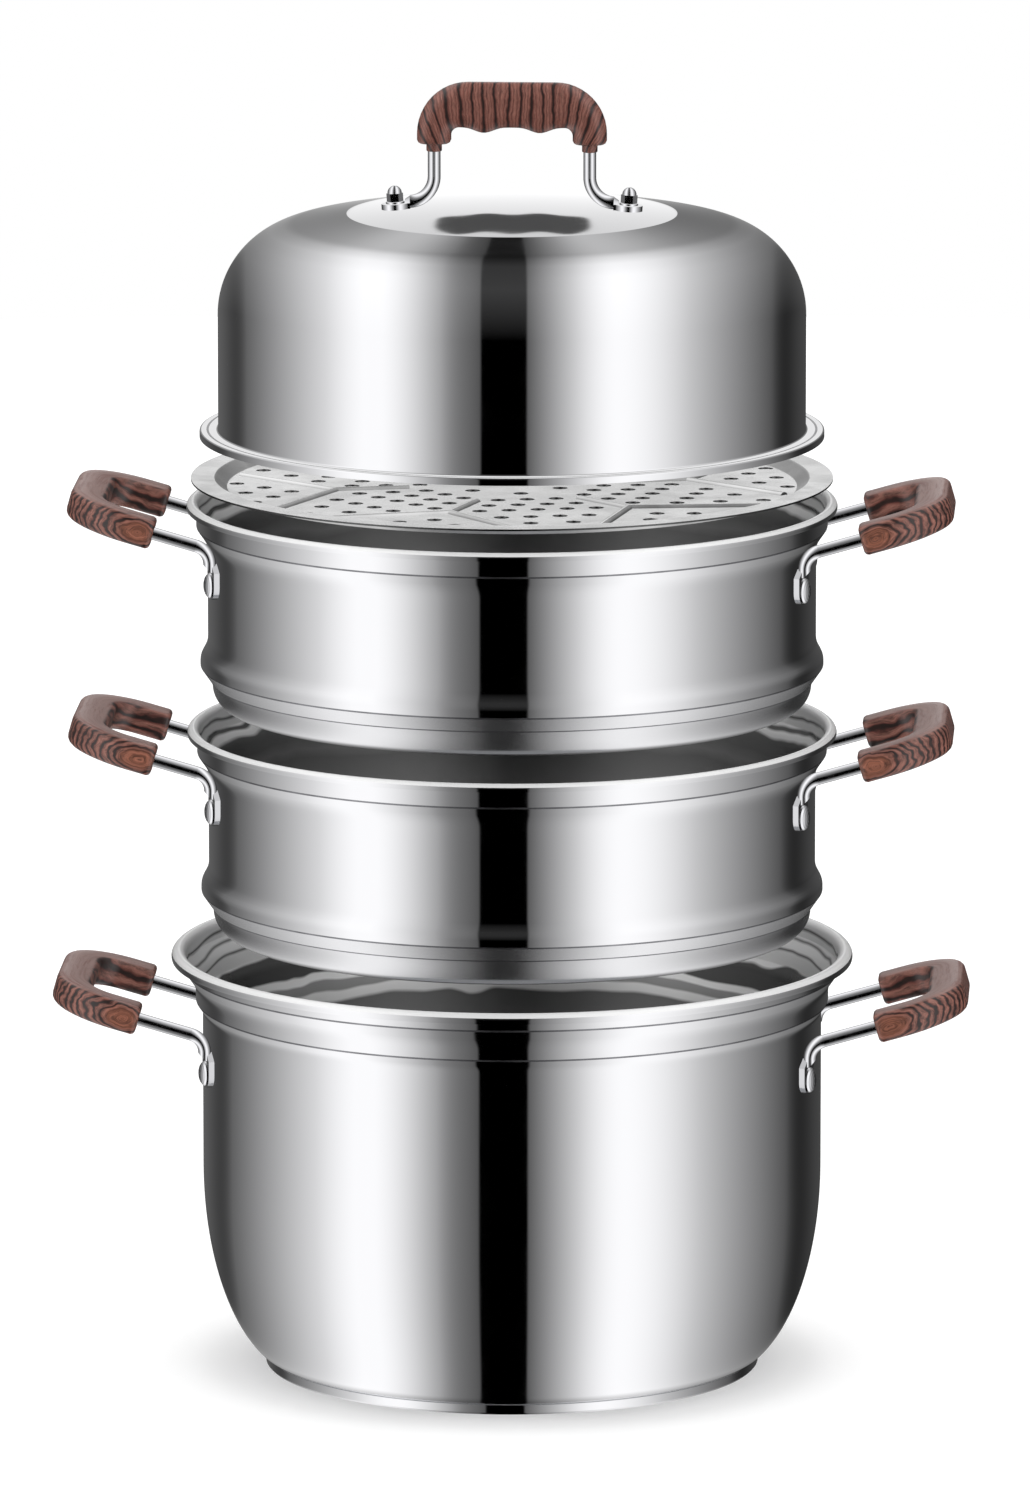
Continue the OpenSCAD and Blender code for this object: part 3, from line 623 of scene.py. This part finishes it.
class SpinTiers(bpy.types.Operator):
    """Spins one tier with its bead, skirt, neck and rolled lip, and copies it for the other"""
    bl_idname = "steamer.spin_tiers"
    bl_label = "Tiers"

    def execute(self, context):
        shapes = context.scene.steamer_shapes
        wall, top, crease = (in_mm(size) for size in
                             (shapes.tier_radius, shapes.tier_height, shapes.crease))
        bead, step = (11.8, 18.51), top - 11
        skirt = arc(wall - 11.9, 10, 10, -90, 0, 7)
        parts = [(wall - 13.1, 0, 0), skirt, (wall - 1.4, bead[0], crease),
                 (wall + 3.3, bead[1], crease), (wall + 3.3, bead[1] + 3.5, 8),
                 (wall, bead[1] + 9.5, 14), (wall, top - 18, 11), (wall + 4.9, step, 1.4),
                 arc(wall + 6.6, top - 2.5, 1.7, 180, -20, 12)]
        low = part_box("lower_tier_shell")[0].z
        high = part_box("upper_tier_shell")[0].z
        skirt_top, lip = (low + z * MM for z in (bead[1] + 0.29, top - 5.8))

        def finish(face):
            # Painted shade in the bead's and the neck's creases, and painted reflection rings inside
            # and on the lip
            if in_crease(face, low, (*bead, step)):
                return 3
            if looks_in(face) or on_lip(face, lip):
                return 2
            return 1 if face.center.z < skirt_top else 0

        tier = spun_sheet("lower_tier_body", parts, low, (wall, 50))
        mark_depth(tier)
        dress(tier, [polished_steel(), satin_steel(), painted_reflection_steel("tier_inner_steel", TIER_BANDS),
                     painted_crease_shade()], finish)
        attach(tier, "lower_tier")
        other = tier.copy()
        other.data = tier.data.copy()
        other.name = other.data.name = "upper_tier_body"
        context.collection.objects.link(other)
        other.data.transform(Matrix.Translation((0, 0, high - low)))
        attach(other, "upper_tier")
        for piece, node in ((tier, "lower_tier_shell"), (other, "upper_tier_shell")):
            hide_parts(node)
            hide_from_mirrors(piece)
        return {"FINISHED"}


class DressPlates(bpy.types.Operator):
    """Gives the two pressed and pierced plates their satin steel"""
    bl_idname = "steamer.dress_plates"
    bl_label = "Plates"

    def execute(self, context):
        for name in ("lower_plate", "upper_plate"):
            dress_node(name, pierced_steel())
            hide_from_mirrors(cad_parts[name])
        return {"FINISHED"}


class SpinLid(bpy.types.Operator):
    """Spins the domed lid with its flat edge, shoulder and crown"""
    bl_idname = "steamer.spin_lid"
    bl_label = "Lid"

    def execute(self, context):
        shapes = context.scene.steamer_shapes
        wall, crease = in_mm(shapes.lid_radius), in_mm(shapes.crease)
        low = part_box("lid_shell")[0].z
        ring = wall + 4.5
        crown_radius, rise, slope = 71, 3, 10
        shoulder = arc(wall - 40, 53, 40, 0, 90 - slope, 2.5)
        band_end = (shoulder[-1][1]
                    + (shoulder[-1][0] - crown_radius) * math.tan(math.radians(slope)))
        ball = (crown_radius ** 2 + rise ** 2) / (2 * rise)
        # The arc starts close to the crown's rim, so that its shading stays round
        edge = math.degrees(math.asin((crown_radius - 1.8) / ball))
        crown = arc(0, band_end + rise - ball, ball, 90 - edge, 90, 0.6)
        parts = [(wall + 8, 0, 0), (wall + 8, 3, crease), (ring + 0.5, 3, 0), (ring - 0.5, 3, 0),
                 (wall, 3, crease), shoulder, (crown_radius, band_end, 1.5), crown]

        def finish(face):
            # Painted shade rings inside and under the lid, and a painted shade line on the flange's
            # ring
            if looks_in(face) or face.normal.z < -0.5:
                return 1
            out = math.hypot(face.center.x, face.center.y)
            return 2 if abs(out - ring * MM) < CREASE_REACH * MM else 0

        lid = spun_sheet("lid_body", parts, low, (wall, 30))
        mark_depth(lid)
        dress(lid, [polished_steel(), painted_reflection_steel("lid_inner_steel", LID_BANDS), painted_crease_shade()],
              finish)
        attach(lid, "lid")
        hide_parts("lid_shell")
        hide_from_mirrors(lid)
        return {"FINISHED"}


def grip_stations(half, height, corner, band, leg, fold, ridge):
    """Pairs of outer and inner points of a grip in mm, from the right leg's end to the middle.

    half and height are the grip's own, corner and fold the radii of its outer and inner corners,
    band and leg how wide it is at its middle and at its legs, and ridge how far the finger ridges
    under it stand out."""
    hollow, inside, ridge_pitch = height - band, half - leg, 24
    corner_steps, band_steps = 12, 14
    pairs = [((half, y), (inside, y)) for y in (0.0, 0.5, 1.6, 3.5)]
    for i in range(corner_steps + 1):
        a = math.radians(90 * i / corner_steps)
        pairs.append(((half - corner + corner * math.cos(a),
                       height - corner + corner * math.sin(a)),
                      (inside - fold + fold * math.cos(a), hollow - fold + fold * math.sin(a))))
    for i in range(1, band_steps + 1):
        t = 1 - i / band_steps
        x = (inside - fold) * t
        down = ridge * ((1 + math.cos(math.radians(360 * (x / ridge_pitch - 0.5)))) / 2) ** 2
        pairs.append((((half - corner) * t, height), (x, hollow - down)))
    return pairs


def sweep_grip(name, pairs, thickness, rounding):
    """Draws a rounded section at a leg's end and extrudes it from pair to pair to the other leg."""
    pairs = pairs + [((-a[0], a[1]), (-b[0], b[1])) for a, b in reversed(pairs[:-1])]
    last = len(pairs) - 1
    clear_selection()
    bpy.ops.mesh.primitive_plane_add(size=MM, rotation=(math.pi / 2, 0, 0))
    piece = bpy.context.object
    piece.name = piece.data.name = name
    bpy.ops.object.transform_apply(location=True, rotation=True, scale=True)
    bpy.ops.object.mode_set(mode="EDIT")
    centre, angle, size = Vector((0, 0, 0)), 0.0, (1.0, 1.0)
    for i, (outer, inner) in enumerate(pairs):
        outer, inner = Vector((*outer, 0)), Vector((*inner, 0))
        across = outer - inner
        inset = {0: 1.4, 1: 0.5}.get(min(i, last - i), 0.0)  # rounds the legs' ends
        spot, turn = (outer + inner) / 2, math.atan2(across.y, across.x)
        want = (across.length - 2 * inset, thickness - 2 * inset)
        if i:
            bpy.ops.mesh.extrude_edges_move(TRANSFORM_OT_translate={"value": (spot - centre) * MM})
            bpy.ops.transform.rotate(value=-(turn - angle), orient_axis="Z", orient_type="GLOBAL",
                                     center_override=spot * MM)
        else:
            bpy.ops.transform.translate(value=spot * MM)
        side = Vector((math.cos(turn), math.sin(turn), 0))
        bpy.ops.transform.resize(value=(want[0] / size[0], 1, want[1] / size[1]),
                                 orient_matrix=(side, (-side.y, side.x, 0), (0, 0, 1)),
                                 orient_type="GLOBAL", orient_matrix_type="GLOBAL",
                                 center_override=spot * MM)
        if i == 0:
            bpy.ops.mesh.bevel(offset=rounding * MM, segments=4, affect="VERTICES")
            bpy.ops.mesh.delete(type="ONLY_FACE")
            bpy.ops.mesh.select_all(action="SELECT")
        centre, angle, size = spot, turn, want
    bpy.ops.mesh.select_all(action="SELECT")
    bpy.ops.mesh.remove_doubles(threshold=0.00001)
    bpy.ops.mesh.fill_holes(sides=0)
    bpy.ops.mesh.select_all(action="SELECT")
    bpy.ops.mesh.normals_make_consistent(inside=False)
    bpy.ops.object.mode_set(mode="OBJECT")
    return piece


def add_collars(grip, arm, rod):
    """Joins a short moulded collar round the rod to each leg's end of a grip."""
    for x in (-arm, arm):
        clear_selection()
        bpy.ops.mesh.primitive_cylinder_add(
            vertices=32, radius=(rod / 2 + 0.6) * MM, depth=5 * MM,
            location=(x * MM, -1 * MM, 0), rotation=(math.pi / 2, 0, 0))
        collar = bpy.context.object
        bpy.ops.object.transform_apply(location=True, rotation=True, scale=True)
        soft = collar.modifiers.new("Edge", "BEVEL")
        soft.width, soft.segments = 0.5 * MM, 3
        bpy.ops.object.modifier_apply(modifier=soft.name)
        grip.select_set(True)
        bpy.context.view_layer.objects.active = grip
        bpy.ops.object.join()


def mark_grain(piece, middle, fan):
    """Keeps each point's place in the grain in mm: through the stripes, along them and deep.

    The stripes run straight across the middle of the band, and past that they spread round a
    centre that lies fan under the grip's feet."""
    level = 16  # height in the band at which the spread stripes keep their width
    grain = piece.data.attributes.new("grain", "FLOAT_VECTOR", "POINT")
    for i, vertex in enumerate(piece.data.vertices):
        x, y, z = vertex.co / MM
        if abs(x) > middle:
            dx, dy = abs(x) - middle, y + fan
            turn = math.atan2(dx, dy)
            x, y = math.copysign(middle + turn * (fan + level), x), math.hypot(dx, dy) - fan
        grain.data[i].vector = (x, y, z)


def mark_run(piece, half, height, corner):
    """Keeps each point's place in mm: along the band from the eye near the leg's end, up, and out.

    On the band's inner side the first two change places, so there the grain runs along the band."""
    straight, middle = half - corner, corner - 8
    eye = 56  # from the middle of the grip, along the band
    grain = piece.data.attributes.new("grain", "FLOAT_VECTOR", "POINT")
    for i, vertex in enumerate(piece.data.vertices):
        x, y, z = vertex.co / MM
        dx, dy = abs(x) - straight, y - (height - corner)
        if dx <= 0:
            run, out = abs(x), dy - middle
        elif dy > 0:
            run, out = straight + math.atan2(dx, dy) * middle, math.hypot(dx, dy) - middle
        else:
            run, out = straight + math.pi / 2 * middle - dy, dx - middle
        run -= eye
        apart = out + math.copysign(20, x)  # so that the two legs differ
        grain.data[i].vector = (run, z, apart) if out > 0 else (z * 0.45 - 40, run * 0.25, apart)


class ShapeGrips(bpy.types.Operator):
    """Sweeps the lid's grip and the side grips, with the grain's run, and copies the side grips"""
    bl_idname = "steamer.shape_grips"
    bl_label = "Grips"

    def execute(self, context):
        thickness, tilt = 13, math.radians(16)
        lid = sweep_grip("lid_grip_moulding", grip_stations(
            half=40.7, height=26.4, corner=22, band=19.4, leg=14.6, fold=3.5, ridge=2.3),
            thickness, 4)
        add_collars(lid, 33.4, 5.5)
        mark_grain(lid, 18, 35)
        outline = {"half": 48.3, "height": 39.4, "corner": 30}
        side = sweep_grip("side_grip_moulding", grip_stations(
            **outline, band=15.7, leg=14.6, fold=9.65, ridge=0), thickness, 2.4)
        mark_run(side, **outline)
        upright = Matrix.Rotation(math.pi / 2, 4, "X")
        places = [("lid_grip", lid, Matrix.Translation((0, 0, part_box("lid_grip")[0].z)) @ upright)]
        deep = thickness / 2 * MM
        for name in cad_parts:
            if name.endswith(("left_grip", "right_grip")):
                low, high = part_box(name)
                left = name.endswith("left_grip")
                reach = (-high.x if left else low.x) + deep * math.sin(tilt)
                spot = Matrix.Translation((reach, 0, low.z + deep * math.cos(tilt)))
                matrix = (spot @ Matrix.Rotation(-tilt, 4, "Y")
                          @ Matrix.Rotation(-math.pi / 2, 4, "Z"))
                if left:
                    matrix = Matrix.Rotation(math.pi, 4, "Z") @ matrix
                copy = side.copy()
                copy.data = side.data.copy()
                context.collection.objects.link(copy)
                places.append((name, copy, matrix))
        bpy.data.objects.remove(side)
        for i, (name, piece, matrix) in enumerate(places):
            piece.name = piece.data.name = name + "_moulding"
            shift = Vector((0.0, 0.0, 60.0)) * i  # each grip is cut from another part of the grain
            for point in piece.data.attributes["grain"].data:
                point.vector = point.vector + shift
            clear_selection()
            piece.select_set(True)
            context.view_layer.objects.active = piece
            bpy.ops.object.shade_smooth_by_angle(angle=math.radians(50))
            piece.data.transform(matrix)
            dress(piece, [ringed_plastic() if i else grain_plastic()])
            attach(piece, name.rsplit("_", 2)[0] if name != "lid_grip" else "lid")
            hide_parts(name)
            hide_from_mirrors(piece)
        return {"FINISHED"}


class DressHandles(bpy.types.Operator):
    """Gives the rods, rivets and bolts their finish"""
    bl_idname = "steamer.dress_handles"
    bl_label = "Handles"

    def execute(self, context):
        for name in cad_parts:
            if name.endswith(("rod", "rivets", "bolts", "washers", "cap_nuts")):
                dress_node(name, bright_steel())
                hide_from_mirrors(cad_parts[name])
        return {"FINISHED"}


# Stage

# Two tall soft panels that the walls mirror: places across a wall from -1 to 1, and sRGB greys
PANELS = [(-1.0, 84), (-0.9, 96), (-0.63, 216), (-0.44, 255), (-0.24, 162), (-0.11, 84), (0.05, 88),
          (0.215, 206), (0.365, 255), (0.6, 198), (0.88, 82), (1.0, 62)]
# The black board between the panels, as its two edges
BOARD = (-0.102, 0.047)
# Levels by how far up the mirroring surface looks, from 0, straight down, to 1, straight up: what
# the panels are dimmed to, and the ceiling that is added to them
DIM = [(0.02, 0.05), (0.09, 0.35), (0.15, 1.0), (0.9, 1.0), (0.95, 0.9), (0.975, 0.7), (0.99, 0.45)]
CEILING = [(0.6, 0.0), (0.85, 0.045), (0.95, 0.035), (0.985, 0.01)]
# The dark card over the lid's crown, measured in the tilt of the surface that mirrors it: half its
# width and depth, how much nearer to the camera it hangs, and its edge's waves, pitch and height
CARD_HALVES = (0.0485, 0.0245)
CARD_NEARER = 0.0305
CARD_WAVE = (0.034, 0.0022)
# The glow of the floor by the distance from the pot's axis in mm, dimmer near the pot: a painted
# soft shadow
FLOOR_GLOW = [(115, 0.18), (128, 0.22), (141, 0.33), (154, 0.38), (200, 0.4)]


def camera_axes(stage):
    """The directions from the pot to the camera and to the picture's right."""
    a, e = stage.azimuth, stage.elevation
    back = Vector((math.sin(a) * math.cos(e), -math.cos(a) * math.cos(e), math.sin(e)))
    return back, Vector((math.cos(a), math.sin(a), 0))


def panel_light(tree, across, rise):
    """Colour that the walls mirror, from how far their surface looks to the right and up."""
    square = add_node(tree, "ShaderNodeMath", {"operation": "MULTIPLY", 0: rise, 1: rise})
    # A little more than 1, so that the root stays above 0 where the surface looks straight up
    level = add_node(tree, "ShaderNodeMath", {"operation": "SUBTRACT", 0: 1.0003, 1: square})
    flat = add_node(tree, "ShaderNodeMath", {"operation": "SQRT", 0: level})
    # How far the panels keep their width on the lid and on the pot's bowl, which looks down
    share = add_node(tree, "ShaderNodeMapRange", {"From Min": -0.2, "From Max": 0.0, "To Min": 0.45,
                                                  "To Max": 0.316, "Value": rise})
    rest = add_node(tree, "ShaderNodeMath", {"operation": "SUBTRACT", 0: 1.0, 1: share})
    spread = add_node(tree, "ShaderNodeMath", {"operation": "DIVIDE", 0: rest, 1: flat})
    spread = add_node(tree, "ShaderNodeMath", {"operation": "ADD", 0: spread, 1: share})
    place = add_node(tree, "ShaderNodeMath", {"operation": "MULTIPLY", 0: across, 1: spread})
    place = add_node(tree, "ShaderNodeMapRange",
                     {"From Min": -1.0, "From Max": 1.0, "Value": place})
    panels = add_node(tree, "ShaderNodeValToRGB", {"Fac": place})
    fill_ramp(panels, [((x + 1) / 2, grey(level)) for x, level in PANELS], "CARDINAL")
    board = add_node(tree, "ShaderNodeValToRGB", {"Fac": place})
    left, right = ((x + 1) / 2 for x in BOARD)
    fill_ramp(board, [(left - 0.001, 1.0), (left, 0.0), (right, 0.0), (right + 0.001, 1.0)])
    height = add_node(tree, "ShaderNodeMapRange",
                      {"From Min": -1.0, "From Max": 1.0, "Value": rise})
    dim, ceiling = (fill_ramp(add_node(tree, "ShaderNodeValToRGB", {"Fac": height}), stops)
                    for stops in (DIM, CEILING))
    light = panels
    for layer, blend in ((board, "MULTIPLY"), (dim, "MULTIPLY"), (ceiling, "ADD")):
        mix = add_node(tree, "ShaderNodeMix", {"data_type": "RGBA", "blend_type": blend, 0: 1.0,
                                               6: light, 7: layer})
        light = mix.outputs[2]
    return light


def crown_light(tree, across, depth):
    """Colour that the lid's crown mirrors: a soft ceiling, with a dark card before the grip."""
    crown = add_node(tree, "ShaderNodeMapRange",
                     {"From Min": -0.085, "From Max": 0.085, "Value": depth})
    crown = add_node(tree, "ShaderNodeValToRGB", {"Fac": crown})
    fill_ramp(crown, [(0.0, grey(196)), (0.47, grey(214)), (1.0, grey(238))])
    pitch, wave_height = CARD_WAVE
    wave = add_node(tree, "ShaderNodeMath",
                    {"operation": "MULTIPLY", 0: across, 1: 2 * math.pi / pitch})
    wave = add_node(tree, "ShaderNodeMath", {"operation": "COSINE", 0: wave})
    wave = add_node(tree, "ShaderNodeMath",
                    {"operation": "MULTIPLY_ADD", 0: wave, 1: wave_height, 2: CARD_NEARER})
    centred = add_node(tree, "ShaderNodeMath", {"operation": "ADD", 0: depth, 1: wave})
    # The card's outline is |x / half width|^4 + |y / half depth|^4 = 1
    sides = []
    for value, half_size in zip((across, centred), CARD_HALVES):
        side = add_node(tree, "ShaderNodeMath",
                        {"operation": "MULTIPLY", 0: value, 1: 1 / half_size})
        side = add_node(tree, "ShaderNodeMath", {"operation": "ABSOLUTE", 0: side})
        side = add_node(tree, "ShaderNodeMath", {"operation": "POWER", 0: side, 1: 4.0})
        sides.append(side)
    ring = add_node(tree, "ShaderNodeMath", {"operation": "ADD", 0: sides[0], 1: sides[1]})
    card = add_node(tree, "ShaderNodeMapRange", {"From Min": 1.15, "From Max": 0.9, "Value": ring})
    crown = add_node(tree, "ShaderNodeMix",
                     {"data_type": "RGBA", 0: card, 6: crown, 7: (*grey(70), 1.0)})
    return crown.outputs[2]


class SetStage(bpy.types.Operator):
    """Makes the floor, the studio light and the camera"""
    bl_idname = "steamer.set_stage"
    bl_label = "Stage"

    def execute(self, context):
        stage = context.scene.steamer_stage
        self.make_world(context, stage)
        self.make_floor(context)
        self.make_camera(context, stage)
        context.scene.view_settings.view_transform = "Standard"
        return {"FINISHED"}

    def make_world(self, context, stage):
        """White for the camera, plain light for matt surfaces, and soft panels for the steel.

        The panels stand still in the room. They are laid out by the direction halfway between a
        mirrored ray and the photograph's own view, which is where a mirroring surface looks."""
        world = bpy.data.worlds.new("studio")
        context.scene.world = world
        tree = empty_nodes(world)
        back, right = camera_axes(stage)
        toward = add_node(tree, "ShaderNodeTexCoord").outputs["Generated"]
        half = add_node(tree, "ShaderNodeVectorMath", {"operation": "ADD", 0: toward, 1: back})
        half = add_node(tree, "ShaderNodeVectorMath", {"operation": "NORMALIZE", 0: half})
        across, depth = (add_node(tree, "ShaderNodeVectorMath",
                                  {"operation": "DOT_PRODUCT", 0: half, 1: way}).outputs["Value"]
                         for way in (right, Vector((-right.y, right.x, 0))))
        rise = add_node(tree, "ShaderNodeSeparateXYZ", {"Vector": half}).outputs["Z"]
        walls = panel_light(tree, across, rise)
        crown = crown_light(tree, across, depth)
        top = add_node(tree, "ShaderNodeMapRange",
                       {"From Min": 0.988, "From Max": 0.994, "interpolation_type": "SMOOTHSTEP",
                        "Value": rise})
        mirrored = add_node(tree, "ShaderNodeMix",
                            {"data_type": "RGBA", 0: top, 6: walls, 7: crown})
        steel = add_node(tree, "ShaderNodeBackground",
                         {"Strength": 1.35, "Color": mirrored.outputs[2]})
        aim = add_node(tree, "ShaderNodeSeparateXYZ", {"Vector": toward})
        soft = add_node(tree, "ShaderNodeMapRange",
                        {"From Min": -0.2, "From Max": 0.9, "To Min": 0.6, "To Max": 1.45,
                         "Value": aim.outputs["Z"]})
        plain = add_node(tree, "ShaderNodeBackground", {"Strength": stage.light, "Color": soft})
        white = add_node(tree, "ShaderNodeBackground", {"Color": (1, 1, 1, 1), "Strength": 1.0})
        rays = add_node(tree, "ShaderNodeLightPath")
        lit = add_node(tree, "ShaderNodeMixShader",
                       {0: rays.outputs["Is Glossy Ray"], 1: plain, 2: steel})
        seen = add_node(tree, "ShaderNodeMixShader",
                        {0: rays.outputs["Is Camera Ray"], 1: lit, 2: white})
        add_node(tree, "ShaderNodeOutputWorld", {"Surface": seen})
        world.cycles.sampling_method = "NONE"

    def make_floor(self, context):
        """A pale floor that the steel doesn't mirror, with a soft shadow partly cast, partly
        painted.
        """
        clear_selection()
        bpy.ops.mesh.primitive_circle_add(vertices=96, radius=3.0, fill_type="NGON")
        floor = context.object
        floor.name = "floor"
        material = bpy.data.materials.new("white_studio_floor")
        tree = empty_nodes(material)
        rays = add_node(tree, "ShaderNodeLightPath")
        matt = add_node(tree, "ShaderNodeBsdfDiffuse", {"Color": (0.8, 0.8, 0.8, 1)})
        place = add_node(tree, "ShaderNodeTexCoord")
        radius = add_node(tree, "ShaderNodeVectorMath",
                          {"operation": "LENGTH", 0: place.outputs["Object"]})
        level = add_node(tree, "ShaderNodeValToRGB", {"Fac": radius.outputs["Value"]})
        # Painted shadow: the floor's glow is dimmer near the pot
        fill_ramp(level, [(r * MM, glow) for r, glow in FLOOR_GLOW])
        glow = add_node(tree, "ShaderNodeEmission", {"Strength": 1.0, "Color": level})
        lit = add_node(tree, "ShaderNodeAddShader", {0: matt, 1: glow})
        seen = add_node(tree, "ShaderNodeMixShader",
                        {0: rays.outputs["Is Camera Ray"], 1: matt, 2: lit})
        clear = add_node(tree, "ShaderNodeBsdfTransparent")
        both = add_node(tree, "ShaderNodeMixShader",
                        {0: rays.outputs["Is Glossy Ray"], 1: seen, 2: clear})
        add_node(tree, "ShaderNodeOutputMaterial", {"Surface": both})
        floor.data.materials.append(material)

    def make_camera(self, context, stage):
        """A long lens at the photograph's angle, with its frame's height at the pot's axis."""
        back, right = camera_axes(stage)
        aim = Vector((0, 0, 0.2696)) + right * 0.0013  # the middle of the photograph's frame
        data = bpy.data.cameras.new("camera")
        camera = bpy.data.objects.new("camera", data)
        context.collection.objects.link(camera)
        data.sensor_width = 36.0
        data.lens = data.sensor_width * stage.distance / stage.view_height
        data.clip_end = 100.0
        camera.location = aim + back * stage.distance
        camera.rotation_mode = "QUATERNION"
        camera.rotation_quaternion = Quaternion(back, stage.roll) @ (-back).to_track_quat("-Z", "Y")
        context.scene.camera = camera


class SteamerPanel(bpy.types.Panel):
    """Lists the steamer's pieces and its settings"""
    bl_idname = "VIEW3D_PT_steamer"
    bl_label = "Steamer Pot"
    bl_space_type = "VIEW_3D"
    bl_region_type = "UI"
    bl_category = "Steamer"

    def draw(self, context):
        for operator in PIECES:
            self.layout.operator(operator.bl_idname)
        scene = context.scene
        for group in (scene.steamer_shapes, scene.steamer_finishes, scene.steamer_stage):
            box = self.layout.box()
            for name in group.__annotations__:
                box.prop(group, name)


PIECES = (SpinPot, SpinTiers, DressPlates, SpinLid, ShapeGrips, DressHandles, SetStage)
CLASSES = (SteamerShapes, SteamerFinishes, SteamerStage) + PIECES + (SteamerPanel,)


def register():
    for cls in CLASSES:
        bpy.utils.register_class(cls)
    bpy.types.Scene.steamer_shapes = bpy.props.PointerProperty(type=SteamerShapes)
    bpy.types.Scene.steamer_finishes = bpy.props.PointerProperty(type=SteamerFinishes)
    bpy.types.Scene.steamer_stage = bpy.props.PointerProperty(type=SteamerStage)


def unregister():
    for name in ("steamer_shapes", "steamer_finishes", "steamer_stage"):
        delattr(bpy.types.Scene, name)
    for cls in reversed(CLASSES):
        bpy.utils.unregister_class(cls)


def main():
    register()
    bpy.ops.steamer.spin_pot()
    bpy.ops.steamer.spin_tiers()
    bpy.ops.steamer.dress_plates()
    bpy.ops.steamer.spin_lid()
    bpy.ops.steamer.shape_grips()
    bpy.ops.steamer.dress_handles()
    bpy.ops.steamer.set_stage()


if __name__ == "__main__":
    main()
